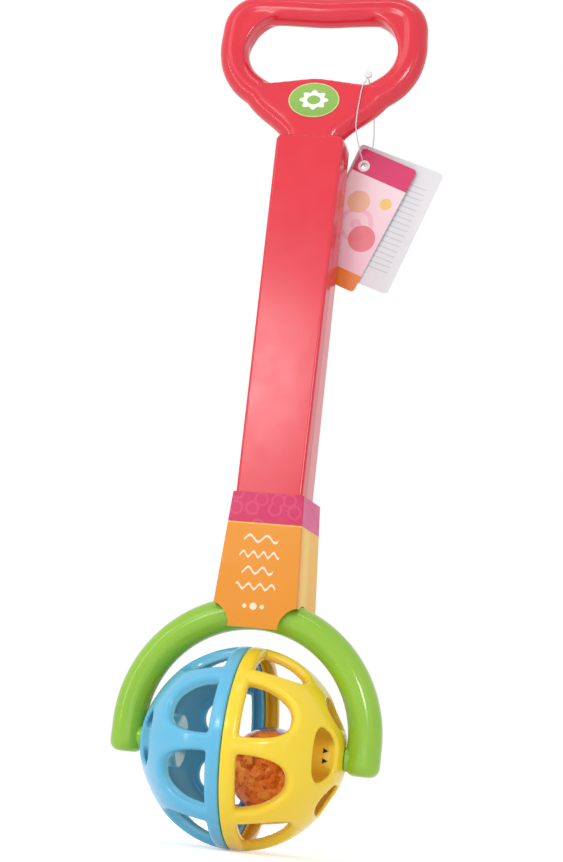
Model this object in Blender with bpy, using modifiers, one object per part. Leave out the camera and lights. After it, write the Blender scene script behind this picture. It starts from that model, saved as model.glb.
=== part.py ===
# A toddler's push toy: a D-shaped grip and a flat shaft in one pair of red shells, a green fork,
# and a blue and yellow cage ball that rolls on two pegs with a loose chime ball inside.
# Lengths are in metres. X is to the right, Y to the back and Z up.
# The origin is where the cage ball touches the floor.
import math

import bmesh
import bpy
from mathutils import Matrix, Vector

# Fits
TOUCH_GAP = 0.0003
SPLIT_GAP = 0.0003
RUNNING_GAP = 0.0003
STICKER_GAP = 0.0002
OVERRUN = 0.004
WELD_DISTANCE = 0.000002
TURN_MERGE = 0.00001

# Cage ball
CAGE_RADIUS = 0.068
CAGE_SKIN = 0.0026
CAGE_FLANGE_DEPTH = 0.0075
CAGE_FLANGE_WALL = 0.0021
CAGE_RIM_WALL = 0.0026
CAGE_HUB_DROP = 0.0006
CAGE_CAP_THICKNESS = 0.0032
CUP_RADIUS = 0.0183
CUP_WALL = 0.0020
CUP_DEPTH = 0.0239
CUP_FACE_THICKNESS = 0.0025
FLANGE_COVER = 0.0010
CAGE_STEPS = 24
CAGE_ARC_STEPS = 6

# Cage windows, as angles seen from the centre of the ball
SIDE_WINDOW_COUNT = 8
SIDE_WINDOW_RIM_DEG = 9.0
SIDE_WINDOW_TIP_DEG = 39.5
SIDE_WINDOW_HALF_DEG = 17.2
SIDE_WINDOW_ROUNDNESS = 0.80
SIDE_WINDOW_POINTS = 8
HUB_WINDOW_COUNT = 4
HUB_WINDOW_MIDDLE_DEG = 64.5
HUB_WINDOW_HIGH_DEG = 7.0
HUB_WINDOW_HALF_DEG = 33.0
HUB_WINDOW_POINTS = 10

# Axle pegs, washers and their screws
PEG_RADIUS = 0.0072
PEG_NECK_RADIUS = 0.0046
PEG_HEAD_RADIUS = 0.0062
PEG_NECK_LENGTH = 0.0103
PEG_HEAD_LENGTH = 0.0040
PEG_BORE_DEPTH = 0.0140
PEG_SHOW = 0.0026
PEG_BOSS_RADIUS = 0.0086
WASHER_RADIUS = 0.0060
WASHER_THICKNESS = 0.0010
SCREW_SHANK_RADIUS = 0.0014
SCREW_HEAD_RADIUS = 0.0028
SCREW_HEAD_HEIGHT = 0.0020
SCREW_SLOT_WIDTH = 0.0007
SCREW_SLOT_DEPTH = 0.0008
AXLE_SCREW_HEAD_RADIUS = 0.0040
AXLE_SCREW_LENGTH = 0.0160

# Chime ball
CHIME_RADIUS = 0.029
CHIME_WALL = 0.0018
CHIME_LIE_GAP = 0.0002
CHIME_LIE_DEG = 63.4
CHIME_TILT_DEG = 118.0
CHIME_STEPS = 20
CHIME_ARC_STEPS = 5
FRAME_POST_RADIUS = 0.0042
FRAME_SEAT_GAP = 0.0006
FRAME_PLATE_RADIUS = 0.0160
FRAME_PLATE_THICKNESS = 0.0020
FRAME_PLATE_TOP = -0.0060
TINE_RADIUS = 0.0009
TINE_CIRCLE_RADIUS = 0.0120
TINE_REACHES = (0.0160, 0.0140, 0.0125, 0.0110)
STRIKER_PIVOT_DROP = 0.0026
STRIKER_KNOB_RADIUS = 0.0024
STRIKER_LIP_RADIUS = 0.0020
STRIKER_LIP_HEIGHT = 0.0005
STRIKER_ROD_RADIUS = 0.0008
STRIKER_BOB_RADIUS = 0.0045
STRIKER_LENGTH = 0.0165
BEAD_RADIUS = 0.0025
BEAD_GAP = 0.0008
BEAD_PLACES_DEG = ((15.0, 20.0), (30.0, 140.0), (34.0, 255.0))

# Fork
FORK_CLEARANCE = 0.0028
FORK_HALF_WIDTH = 0.0110
FORK_HALF_DEPTH = 0.0126
FORK_SECTION_ROUNDNESS = 0.92
FORK_SECTION_STEPS = 12
FORK_CENTRE_RISE = 0.0096
FORK_END_DROP = 0.0109
FORK_END_ROUND = 0.0070
FORK_END_SHARE = 0.42
FORK_WALL = 0.0022
FORK_HOLLOW_DEG = 80.0
FORK_ARC_STEPS = 24
FORK_SCREW_DEGS = (-64.0, -30.0, 30.0, 64.0)
STEM_HALF_WIDTH = 0.0155
STEM_HALF_DEPTH = 0.0075
STEM_LENGTH = 0.0766
STEM_ROUND = 0.0020

# Grip ring, its web and the shaft
GRIP_RADIUS = 0.0104
RING_HALF_WIDTH = 0.0652
RING_HEIGHT = 0.0675
RING_RISE = 0.0314
RING_SHARES = (
    (0.00, 0.978),
    (0.30, 0.992),
    (0.58, 1.000),
    (0.83, 0.984),
    (0.958, 0.886),
    (1.00, 0.680),
    (0.99, 0.435),
    (0.90, 0.235),
    (0.74, 0.090),
    (0.54, 0.000),
    (0.28, 0.005),
    (0.00, 0.055),
)
RING_STEPS_PER_SPAN = 2
WEB_HALF_DEPTH = 0.0106
WEB_ROUND = 0.0045
WEB_OVER_RING = 0.0145
WEB_TUCK = 0.0145
WEB_HALF_WIDTH = 0.0440
# Right half of the web's outline: the share of its half width, and of its height from the bottom
WEB_SHARES = (
    (0.00, 1.000),
    (0.20, 0.992),
    (0.41, 0.964),
    (0.61, 0.932),
    (0.82, 0.886),
    (0.99, 0.780),
    (1.00, 0.640),
    (0.97, 0.555),
    (0.83, 0.467),
    (0.693, 0.391),
    (0.593, 0.318),
    (0.560, 0.252),
    (0.545, 0.165),
    (0.545, 0.000),
)
WEB_SHOULDER_SHARE = 0.9
WEB_CROWN_SHARE = 0.85
SHELL_WALL = 0.0022
SHAFT_LENGTH = 0.3308
SHAFT_TOP_WIDTH = 0.0498
SHAFT_BOTTOM_WIDTH = 0.0472
SHAFT_FRONT_DRAFT = 0.0007
SHAFT_REAR_DRAFT = 0.0002
SHAFT_TOP_FRONT_DEPTH = 0.0112
SHAFT_BOTTOM_FRONT_DEPTH = 0.0122
SHAFT_TOP_REAR_DEPTH = 0.0160
SHAFT_BOTTOM_REAR_DEPTH = 0.0300
SHAFT_EDGE_RADIUS = 0.0022
SHAFT_EDGE_STEPS = 3
POST_RADIUS = 0.0034
REAR_POST_RADIUS = 0.0047
POST_BITE_SHARE = 0.30
POST_STEPS = 12
SCREW_SEAT = 0.0026
SCREW_REACH = 0.0060
RING_SCREW_SHARE = 0.55
WEB_SCREW_RISE = 0.0185
SHAFT_SCREW_SHARES = (0.14, 0.41, 0.685)
STEM_SCREW_DROP = 0.0240
STEM_SCREW_BITE = 0.0026
STEM_SEAT_WALL = 0.0018

# Round label on the web
BADGE_WIDTH = 0.0370
BADGE_HEIGHT = 0.0260
BADGE_THICKNESS = 0.0003
BADGE_RISE = 0.0258

# Printed card sleeve round the foot of the shaft
CARD_THICKNESS = 0.0006
SLEEVE_RISE = 0.0697
SLEEVE_HEIGHT = 0.0929
SLEEVE_SIDE_FLARE = 0.0052
SLEEVE_FRONT_FLARE = 0.0038
SLEEVE_REAR_FLARE = 0.0025
SLEEVE_REAR_SPREAD = 0.0042
SLEEVE_NOTCH_RADIUS = 0.0160
SLEEVE_TAB_HALF_WIDTH = 0.0170
SLEEVE_REAR_TAB_SHORTER = 0.0085
SLEEVE_TUBE_CLEARANCE = 0.0006
SPLIT_BOX_REACH = 1.0

# Swing tag with two leaves, its loop of nylon line and the button that closes the loop
LEAF_THICKNESS = 0.0004
LEAF_CORNER = 0.0030
LEAF_HOLE_RADIUS = 0.0024
LEAF_FRONT_SIZE = (0.0440, 0.1000)
LEAF_REAR_SIZE = (0.0660, 0.0970)
LEAF_FRONT_SHIFT = (0.0, -0.0405)
LEAF_REAR_SHIFT = (0.0109, -0.0384)
LEAF_CLEARANCE = 0.0065
LEAF_SPACING = 0.0030
LEAF_FRONT_LEAN_DEG = 22.0
LEAF_REAR_LEAN_DEG = 19.4
TAG_HOLE_X = 0.0349
TAG_HOLE_DROP = 0.0097
LINE_RADIUS = 0.0004
LINE_STEPS_PER_SPAN = 3
BUTTON_RADIUS = 0.0026
BUTTON_THICKNESS = 0.0016
LINE_ROUTE = (
    (0.0351, -0.0025, 0.5481),
    (0.0349, -0.0036, 0.5460),
    (0.0348, -0.0062, 0.5436),
    (0.0346, -0.0094, 0.5412),
    (0.0341, -0.0117, 0.5370),
    (0.0334, -0.0120, 0.5300),
    (0.0328, -0.0120, 0.5220),
    (0.0324, -0.0115, 0.5145),
    (0.0323, -0.0090, 0.5080),
    (0.0330, -0.0020, 0.5018),
    (0.0338, 0.0070, 0.4973),
    (0.0344, 0.0160, 0.4940),
    (0.0349, 0.0240, 0.4929),
    (0.0356, 0.0281, 0.4938),
    (0.0372, 0.0292, 0.4985),
    (0.0388, 0.0276, 0.5058),
    (0.0398, 0.0232, 0.5142),
    (0.0400, 0.0172, 0.5230),
    (0.0395, 0.0127, 0.5312),
    (0.0386, 0.0116, 0.5368),
    (0.0379, 0.0098, 0.5412),
    (0.0372, 0.0062, 0.5438),
    (0.0367, 0.0022, 0.5455),
    (0.0365, -0.0010, 0.5466),
    (0.0364, -0.0025, 0.5481),
)

# Places that follow from the sizes
CAGE_CENTRE = Vector((0.0, 0.0, CAGE_RADIUS))
CAGE_FLANGE_RADIUS = CAGE_RADIUS - CAGE_FLANGE_DEPTH
CAGE_HUB_X = CAGE_RADIUS - CAGE_HUB_DROP
CUP_FACE_X = CAGE_HUB_X - CUP_DEPTH
PEG_SEAT_X = CAGE_HUB_X + PEG_SHOW
CHIME_X = CUP_FACE_X - CHIME_RADIUS
FORK_MEAN_RADIUS = CAGE_RADIUS + FORK_CLEARANCE + FORK_HALF_WIDTH
FORK_CENTRE_Z = CAGE_RADIUS + FORK_CENTRE_RISE
FORK_CROWN_Z = FORK_CENTRE_Z + FORK_MEAN_RADIUS
STEM_TOP_Z = FORK_CROWN_Z + STEM_LENGTH
STEM_SCREW_Z = STEM_TOP_Z - STEM_SCREW_DROP
SHAFT_BOTTOM_Z = FORK_CROWN_Z + FORK_HALF_WIDTH + TOUCH_GAP
SHAFT_TOP_Z = SHAFT_BOTTOM_Z + SHAFT_LENGTH
RING_BOTTOM_Z = SHAFT_TOP_Z + RING_RISE
RING_TOP_Z = RING_BOTTOM_Z + RING_HEIGHT
WEB_TOP_Z = RING_BOTTOM_Z + WEB_OVER_RING
WEB_BOTTOM_Z = SHAFT_TOP_Z - WEB_TUCK
WEB_SCREW_Z = SHAFT_TOP_Z + WEB_SCREW_RISE
BADGE_Z = SHAFT_TOP_Z + BADGE_RISE
SLEEVE_TOP_Z = SHAFT_BOTTOM_Z + SLEEVE_RISE
SLEEVE_BOTTOM_Z = SLEEVE_TOP_Z - SLEEVE_HEIGHT
SLEEVE_FLARE_Z = SLEEVE_BOTTOM_Z + SLEEVE_NOTCH_RADIUS
SLEEVE_BOTTOM_HALF_WIDTH = SHAFT_BOTTOM_WIDTH / 2 + SLEEVE_SIDE_FLARE
SLEEVE_BOTTOM_FRONT_DEPTH = SHAFT_BOTTOM_FRONT_DEPTH + SLEEVE_FRONT_FLARE
SLEEVE_BOTTOM_REAR_DEPTH = SHAFT_BOTTOM_REAR_DEPTH + SLEEVE_REAR_FLARE
TAG_HOLE_Z = SHAFT_TOP_Z - TAG_HOLE_DROP
LEAF_FRONT_Y = SHAFT_TOP_REAR_DEPTH + LEAF_CLEARANCE
LEAF_REAR_Y = LEAF_FRONT_Y + LEAF_SPACING


# Scene, materials and small helpers


def clearScene():
    for oldObject in list(bpy.data.objects):
        bpy.data.objects.remove(oldObject, do_unlink=True)


def makeCollection(name, hidden):
    collection = bpy.data.collections.new(name)
    bpy.context.scene.collection.children.link(collection)
    collection.hide_render = hidden
    return collection


def linearColour(hexText):
    channels = []
    for start in (0, 2, 4):
        value = int(hexText[start : start + 2], 16) / 255
        channels.append(value / 12.92 if value <= 0.04045 else ((value + 0.055) / 1.055) ** 2.4)
    return (*channels, 1.0)


def makeMaterial(name, hexText, roughness, metallic=0.0, alpha=1.0):
    material = bpy.data.materials.new(name)
    material.use_nodes = True
    shader = material.node_tree.nodes["Principled BSDF"]
    shader.inputs["Base Color"].default_value = linearColour(hexText)
    shader.inputs["Roughness"].default_value = roughness
    shader.inputs["Metallic"].default_value = metallic
    shader.inputs["Alpha"].default_value = alpha
    material.diffuse_color = linearColour(hexText)
    return material


def placeObject(name, mesh, collection, material=None, matrix=None):
    placed = bpy.data.objects.new(name, mesh)
    collection.objects.link(placed)
    if material:
        mesh.materials.clear()
        mesh.materials.append(material)
    if matrix:
        placed.matrix_world = matrix
    return placed


def smooth(target, angleDeg=35.0):
    target.data.shade_smooth()
    target.data.set_sharp_from_angle(angle=math.radians(angleDeg))


def hideCutter(cutter):
    cutter.hide_render = True
    cutter.display_type = "WIRE"
    return cutter


def addBoolean(target, operation, operand):
    modifier = target.modifiers.new(operation.title() + " " + operand.name, "BOOLEAN")
    modifier.operation = operation
    modifier.solver = "EXACT"
    modifier.object = operand


def meshFromBmesh(name, shape):
    mesh = bpy.data.meshes.new(name)
    bmesh.ops.recalc_face_normals(shape, faces=shape.faces)
    shape.to_mesh(mesh)
    shape.free()
    return mesh


def meshFromCurve(name, curveObject):
    graph = bpy.context.evaluated_depsgraph_get()
    mesh = bpy.data.meshes.new_from_object(curveObject.evaluated_get(graph))
    shape = bmesh.new()
    shape.from_mesh(mesh)
    bmesh.ops.transform(shape, matrix=curveObject.matrix_world, verts=shape.verts)
    bmesh.ops.remove_doubles(shape, verts=shape.verts, dist=WELD_DISTANCE)
    curve = curveObject.data
    bpy.data.objects.remove(curveObject, do_unlink=True)
    bpy.data.curves.remove(curve)
    bpy.data.meshes.remove(mesh)
    return meshFromBmesh(name, shape)


def smoothPath(points, stepsPerSpan, closed):
    # Catmull-Rom curve through the points
    count = len(points)
    spans = count if closed else count - 1
    path = []
    for span in range(spans):
        if closed:
            knots = [Vector(points[(span + shift) % count]) for shift in (-1, 0, 1, 2)]
        else:
            knots = [Vector(points[min(max(span + shift, 0), count - 1)]) for shift in (-1, 0, 1, 2)]
        before, start, end, after = knots
        for step in range(stepsPerSpan):
            t = step / stepsPerSpan
            path.append(
                (
                    start * 2
                    + (end - before) * t
                    + (before * 2 - start * 5 + end * 4 - after) * t**2
                    + (start * 3 - before - end * 3 + after) * t**3
                )
                / 2
            )
    if not closed:
        path.append(Vector(points[-1]))
    return path


def tubeMesh(name, path, radius, closed=False, resolution=3):
    curve = bpy.data.curves.new(name, "CURVE")
    curve.dimensions = "3D"
    curve.bevel_depth = radius
    curve.bevel_resolution = resolution
    curve.use_fill_caps = not closed
    spline = curve.splines.new("POLY")
    spline.points.add(len(path) - 1)
    for index, place in enumerate(path):
        spline.points[index].co = (*place, 1.0)
    spline.use_cyclic_u = closed
    curveObject = placeObject(name, curve, bpy.context.scene.collection)
    return meshFromCurve(name, curveObject)


def superOval(angle, roundness):
    across = math.copysign(abs(math.cos(angle)) ** roundness, math.cos(angle))
    deep = math.copysign(abs(math.sin(angle)) ** roundness, math.sin(angle))
    return across, deep


def forkTubeMesh(name, path, shares, growth):
    # Rings of an oval section with flattened sides, square to the path, which lies in X and Z
    shape = bmesh.new()
    rings = []
    for index, place in enumerate(path):
        along = (path[min(index + 1, len(path) - 1)] - path[max(index - 1, 0)]).normalized()
        outward = Vector((-along.z, 0.0, along.x))
        halfWidth = (FORK_HALF_WIDTH + growth) * shares[index]
        halfDepth = (FORK_HALF_DEPTH + growth) * shares[index]
        ring = []
        for step in range(FORK_SECTION_STEPS):
            across, deep = superOval(2 * math.pi * step / FORK_SECTION_STEPS, FORK_SECTION_ROUNDNESS)
            offset = outward * across * halfWidth + Vector((0.0, deep * halfDepth, 0.0))
            ring.append(shape.verts.new(place + offset))
        rings.append(ring)
    for before, after in zip(rings, rings[1:]):
        for step in range(FORK_SECTION_STEPS):
            shape.faces.new((before[step - 1], before[step], after[step], after[step - 1]))
    shape.faces.new(rings[0])
    shape.faces.new(rings[-1])
    return meshFromBmesh(name, shape)


def plateMesh(name, outlines, halfThickness, edgeRound=0.0, matrix=None):
    # A flat plate from outlines in X and Z, thick along Y; outlines after the first are holes
    curve = bpy.data.curves.new(name, "CURVE")
    curve.dimensions = "2D"
    curve.fill_mode = "BOTH"
    curve.extrude = halfThickness - edgeRound
    curve.bevel_depth = edgeRound
    curve.bevel_resolution = 1
    curve.offset = -edgeRound
    for outline in outlines:
        spline = curve.splines.new("POLY")
        spline.points.add(len(outline) - 1)
        for index, (across, up) in enumerate(outline):
            spline.points[index].co = (across, up, 0.0, 1.0)
        spline.use_cyclic_u = True
    curveObject = placeObject(name, curve, bpy.context.scene.collection)
    stand = Matrix.Rotation(math.radians(90), 4, "X")
    curveObject.matrix_world = matrix @ stand if matrix else stand
    bpy.context.view_layer.update()
    return meshFromCurve(name, curveObject)


def turnedObject(name, profile, collection, material, matrix, steps, closed):
    # A profile of (radius, height) turned round local Z; it runs down its outer side
    mesh = bpy.data.meshes.new(name)
    points = [(radius, 0.0, height) for radius, height in profile]
    edges = [(index, index + 1) for index in range(len(points) - 1)]
    if closed:
        edges.append((len(points) - 1, 0))
    mesh.from_pydata(points, edges, [])
    turned = placeObject(name, mesh, collection, material, matrix)
    screw = turned.modifiers.new("Turn", "SCREW")
    screw.axis = "Z"
    screw.steps = steps
    screw.render_steps = steps
    screw.use_merge_vertices = True
    screw.merge_threshold = TURN_MERGE
    screw.use_smooth_shade = True
    return turned


def boxMesh(name, low, high):
    shape = bmesh.new()
    size = Vector(high) - Vector(low)
    middle = (Vector(high) + Vector(low)) / 2
    bmesh.ops.create_cube(shape, size=1.0, matrix=Matrix.Translation(middle) @ Matrix.Diagonal((*size, 1.0)))
    return meshFromBmesh(name, shape)


def addCylinder(shape, start, end, radius, steps=POST_STEPS):
    start, end = Vector(start), Vector(end)
    direction = end - start
    turn = direction.to_track_quat("Z", "Y").to_matrix().to_4x4()
    bmesh.ops.create_cone(
        shape,
        cap_ends=True,
        segments=steps,
        radius1=radius,
        radius2=radius,
        depth=direction.length,
        matrix=Matrix.Translation((start + end) / 2) @ turn,
    )


# Cage halves


def cageProfile():
    arc = []
    topDeg = math.degrees(math.asin(CAGE_HUB_X / CAGE_RADIUS))
    lowDeg = math.degrees(math.asin(SPLIT_GAP / 2 / CAGE_RADIUS))
    for step in range(CAGE_ARC_STEPS + 1):
        angle = math.radians(topDeg + (lowDeg - topDeg) * step / CAGE_ARC_STEPS)
        arc.append((CAGE_RADIUS * math.cos(angle), CAGE_RADIUS * math.sin(angle)))
    innerRadius = CAGE_RADIUS - CAGE_SKIN
    rimTop = SPLIT_GAP / 2 + CAGE_RIM_WALL
    innerArc = []
    startDeg = math.degrees(math.asin(rimTop / innerRadius))
    endDeg = math.degrees(math.acos(CUP_RADIUS / innerRadius))
    for step in range(CAGE_ARC_STEPS):
        angle = math.radians(startDeg + (endDeg - startDeg) * step / (CAGE_ARC_STEPS - 1))
        innerArc.append((innerRadius * math.cos(angle), innerRadius * math.sin(angle)))
    boreRadius = PEG_RADIUS + RUNNING_GAP
    screwBore = SCREW_SHANK_RADIUS + 3 * RUNNING_GAP
    cupInside = CUP_RADIUS - CUP_WALL
    capInside = CAGE_HUB_X - CAGE_CAP_THICKNESS
    faceOutside = CUP_FACE_X + CUP_FACE_THICKNESS
    profile = [(boreRadius, CAGE_HUB_X)] + arc
    profile += [(CAGE_FLANGE_RADIUS, SPLIT_GAP / 2), (CAGE_FLANGE_RADIUS, rimTop)]
    profile += innerArc
    profile += [(CUP_RADIUS, CUP_FACE_X), (screwBore, CUP_FACE_X), (screwBore, faceOutside)]
    profile += [(cupInside, faceOutside), (cupInside, capInside), (boreRadius, capInside)]
    return profile


def directionOf(latitude, longitude):
    # Latitude rises from the seam to the local +Z pole, longitude starts at the front, local -Y
    return Vector(
        (
            math.cos(latitude) * math.sin(longitude),
            -math.cos(latitude) * math.cos(longitude),
            math.sin(latitude),
        )
    )


def sideWindowOutline(growth):
    growDeg = math.degrees(growth / CAGE_RADIUS)
    low = math.radians(SIDE_WINDOW_RIM_DEG - growDeg)
    high = math.radians(SIDE_WINDOW_TIP_DEG + growDeg)
    half = math.radians(SIDE_WINDOW_HALF_DEG + growDeg / math.cos(math.radians(SIDE_WINDOW_RIM_DEG)))
    outline = [(low, -half), (low, -half / 3), (low, half / 3)]
    for step in range(SIDE_WINDOW_POINTS):
        across, up = superOval(math.pi * step / SIDE_WINDOW_POINTS, SIDE_WINDOW_ROUNDNESS)
        outline.append((low + (high - low) * up, half * across))
    return outline


def hubWindowOutline(growth):
    growDeg = math.degrees(growth / CAGE_RADIUS)
    middle = math.radians(HUB_WINDOW_MIDDLE_DEG)
    high = math.radians(HUB_WINDOW_HIGH_DEG + growDeg)
    half = math.radians(HUB_WINDOW_HALF_DEG + growDeg / math.cos(middle))
    outline = []
    for step in range(HUB_WINDOW_POINTS):
        across, up = superOval(2 * math.pi * step / HUB_WINDOW_POINTS, SIDE_WINDOW_ROUNDNESS)
        outline.append((middle + high * up, half * across))
    return outline


def addRadialBlock(shape, outline, longitude, innerRadius, outerRadius):
    # The outline is filled as a fan on the inner sphere, then drawn out to the outer sphere
    places = [directionOf(lat, lon + longitude) * innerRadius for lat, lon in outline]
    middle = sum(places, Vector()).normalized() * innerRadius
    rim = [shape.verts.new(place) for place in places]
    centre = shape.verts.new(middle)
    fan = [shape.faces.new((centre, rim[index - 1], rim[index])) for index in range(len(rim))]
    drawn = bmesh.ops.extrude_face_region(shape, geom=fan, use_keep_orig=True)
    moved = [item for item in drawn["geom"] if isinstance(item, bmesh.types.BMVert)]
    bmesh.ops.scale(shape, vec=Vector((1, 1, 1)) * (outerRadius / innerRadius), verts=moved)


def windowBlocks(name, growth, innerRadius, outerRadius, collection, matrix):
    shape = bmesh.new()
    for number in range(SIDE_WINDOW_COUNT):
        longitude = 2 * math.pi * (number + 0.5) / SIDE_WINDOW_COUNT
        addRadialBlock(shape, sideWindowOutline(growth), longitude, innerRadius, outerRadius)
    for number in range(HUB_WINDOW_COUNT):
        longitude = 2 * math.pi * number / HUB_WINDOW_COUNT
        addRadialBlock(shape, hubWindowOutline(growth), longitude, innerRadius, outerRadius)
    return hideCutter(placeObject(name, meshFromBmesh(name, shape), collection, matrix=matrix))


def makeCageHalf(name, side, material, parts, cutters):
    matrix = Matrix.Translation(CAGE_CENTRE) @ Matrix.Rotation(math.radians(90 * side), 4, "Y")
    half = turnedObject(name, cageProfile(), parts, material, matrix, CAGE_STEPS, True)
    flanges = windowBlocks(
        name + "_flanges",
        CAGE_FLANGE_WALL,
        CAGE_FLANGE_RADIUS,
        CAGE_RADIUS - FLANGE_COVER,
        cutters,
        matrix,
    )
    windows = windowBlocks(
        name + "_windows",
        0.0,
        CAGE_FLANGE_RADIUS - FLANGE_COVER * 2,
        CAGE_RADIUS + OVERRUN,
        cutters,
        matrix,
    )
    addBoolean(half, "UNION", flanges)
    addBoolean(half, "DIFFERENCE", windows)


# Axle pegs, washers and screws


def makeAxle(side, suffix, plastic, steel, parts):
    turn = Matrix.Translation(CAGE_CENTRE) @ Matrix.Rotation(math.radians(90 * side), 4, "Y")
    shoulder = PEG_SEAT_X - TOUCH_GAP
    neckEnd = shoulder + PEG_NECK_LENGTH
    headEnd = neckEnd + PEG_HEAD_LENGTH
    innerEnd = CUP_FACE_X + CUP_FACE_THICKNESS + RUNNING_GAP
    boreRadius = SCREW_SHANK_RADIUS + TOUCH_GAP
    pegProfile = [
        (0.0, headEnd),
        (PEG_HEAD_RADIUS, headEnd),
        (PEG_HEAD_RADIUS, neckEnd),
        (PEG_NECK_RADIUS, neckEnd),
        (PEG_NECK_RADIUS, shoulder),
        (PEG_RADIUS, shoulder),
        (PEG_RADIUS, innerEnd),
        (boreRadius, innerEnd),
        (boreRadius, innerEnd + PEG_BORE_DEPTH),
        (0.0, innerEnd + PEG_BORE_DEPTH),
    ]
    turnedObject("axle_peg_" + suffix, pegProfile, parts, plastic, turn, 16, False)
    washerTop = CUP_FACE_X - RUNNING_GAP
    washerLow = washerTop - WASHER_THICKNESS
    washerProfile = [
        (boreRadius, washerTop),
        (WASHER_RADIUS, washerTop),
        (WASHER_RADIUS, washerLow),
        (boreRadius, washerLow),
    ]
    turnedObject("axle_washer_" + suffix, washerProfile, parts, steel, turn, 12, True)
    headTop = washerLow - TOUCH_GAP
    headLow = headTop - SCREW_HEAD_HEIGHT
    screwProfile = [
        (0.0, headTop + AXLE_SCREW_LENGTH),
        (SCREW_SHANK_RADIUS, headTop + AXLE_SCREW_LENGTH),
        (SCREW_SHANK_RADIUS, headTop),
        (AXLE_SCREW_HEAD_RADIUS, headTop),
        (AXLE_SCREW_HEAD_RADIUS, headLow),
        (0.0, headLow),
    ]
    turnedObject("axle_screw_" + suffix, screwProfile, parts, steel, turn, POST_STEPS, False)


# Fork


def forkPlace(angleDeg):
    angle = math.radians(angleDeg)
    return Vector(
        (
            FORK_MEAN_RADIUS * math.sin(angle),
            0.0,
            FORK_CENTRE_Z + FORK_MEAN_RADIUS * math.cos(angle),
        )
    )


def forkPath():
    # From the left arm's end over the crown to the right arm's end, with the ends rounded off
    endZ = CAGE_RADIUS - FORK_END_DROP
    endPlaces = []
    endShares = []
    for step in range(4):
        angle = math.pi / 2 * (1 - step / 3)
        rise = FORK_END_ROUND * (1 - math.sin(angle))
        share = FORK_END_SHARE + (1 - FORK_END_SHARE) * math.cos(angle)
        endPlaces.append(endZ + rise)
        endShares.append(share)
    path = [Vector((-FORK_MEAN_RADIUS, 0.0, z)) for z in endPlaces]
    shares = list(endShares)
    for step in range(FORK_ARC_STEPS + 1):
        path.append(forkPlace(-90 + 180 * step / FORK_ARC_STEPS))
        shares.append(1.0)
    path += [Vector((FORK_MEAN_RADIUS, 0.0, z)) for z in reversed(endPlaces)]
    shares += list(reversed(endShares))
    return path, shares


def forkArc(growth, name):
    steps = int(FORK_ARC_STEPS * FORK_HOLLOW_DEG / 90)
    path = [forkPlace(-FORK_HOLLOW_DEG + 2 * FORK_HOLLOW_DEG * step / steps) for step in range(steps + 1)]
    return forkTubeMesh(name, path, [1.0] * len(path), growth)


def roundedStem(name, halfWidth, halfDepth, low, high, roundRadius):
    shape = bmesh.new()
    size = Vector((2 * halfWidth, 2 * halfDepth, high - low))
    middle = Vector((0.0, 0.0, (high + low) / 2))
    bmesh.ops.create_cube(shape, size=1.0, matrix=Matrix.Translation(middle) @ Matrix.Diagonal((*size, 1.0)))
    upright = [edge for edge in shape.edges if abs(edge.verts[0].co.z - edge.verts[1].co.z) > size.z / 2]
    bmesh.ops.bevel(shape, geom=upright, offset=roundRadius, segments=2, profile=0.5, affect="EDGES")
    return meshFromBmesh(name, shape)


def makeFork(side, name, material, sockets, parts, cutters):
    path, shares = forkPath()
    fork = placeObject(name, forkTubeMesh(name, path, shares, 0.0), parts, material)
    smooth(fork)
    stemLow = FORK_CROWN_Z
    stemMesh = roundedStem(name + "_stem", STEM_HALF_WIDTH, STEM_HALF_DEPTH, stemLow, STEM_TOP_Z, STEM_ROUND)
    stem = hideCutter(placeObject(name + "_stem", stemMesh, cutters))
    bosses = bmesh.new()
    for end in (-1, 1):
        start = (end * PEG_SEAT_X, 0.0, CAGE_RADIUS)
        addCylinder(bosses, start, (end * FORK_MEAN_RADIUS, 0.0, CAGE_RADIUS), PEG_BOSS_RADIUS, 16)
    boss = hideCutter(placeObject(name + "_bosses", meshFromBmesh(name + "_bosses", bosses), cutters))
    hollow = placeObject(name + "_hollow", forkArc(-FORK_WALL, name + "_hollow"), cutters)
    stemInside = roundedStem(
        name + "_stem_inside",
        STEM_HALF_WIDTH - FORK_WALL,
        STEM_HALF_DEPTH - FORK_WALL,
        stemLow,
        STEM_TOP_Z - FORK_WALL,
        STEM_ROUND / 2,
    )
    inside = hideCutter(placeObject(name + "_stem_inside", stemInside, cutters))
    addBoolean(hollow, "UNION", inside)
    hideCutter(hollow)
    posts = bmesh.new()
    bores = bmesh.new()
    recesses = bmesh.new()
    postRadius = REAR_POST_RADIUS if side > 0 else POST_RADIUS
    postEnd = side * (FORK_HALF_DEPTH - FORK_WALL * (1 - POST_BITE_SHARE))
    for angle in FORK_SCREW_DEGS:
        place = forkPlace(angle)
        addCylinder(posts, place, place + Vector((0, postEnd, 0)), postRadius)
        addScrewHoles(bores, recesses, side, place, FORK_HALF_DEPTH)
    stemPlace = Vector((0.0, 0.0, STEM_SCREW_Z))
    stemPostEnd = side * (STEM_HALF_DEPTH - FORK_WALL / 2)
    addCylinder(posts, stemPlace, stemPlace + Vector((0, stemPostEnd, 0)), POST_RADIUS)
    throughEnd = side * (STEM_HALF_DEPTH + OVERRUN)
    addCylinder(
        bores,
        stemPlace - Vector((0, side * OVERRUN, 0)),
        stemPlace + Vector((0, throughEnd, 0)),
        SCREW_SHANK_RADIUS + TOUCH_GAP,
    )
    post = hideCutter(placeObject(name + "_posts", meshFromBmesh(name + "_posts", posts), cutters))
    addBoolean(fork, "UNION", stem)
    addBoolean(fork, "UNION", boss)
    addBoolean(fork, "DIFFERENCE", hollow)
    addBoolean(fork, "UNION", post)
    cutScrewHoles(fork, bores, recesses, cutters)
    for socket in sockets:
        addBoolean(fork, "DIFFERENCE", socket)
    addBoolean(fork, "DIFFERENCE", otherHalfSpace(side, name, cutters))


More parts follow.
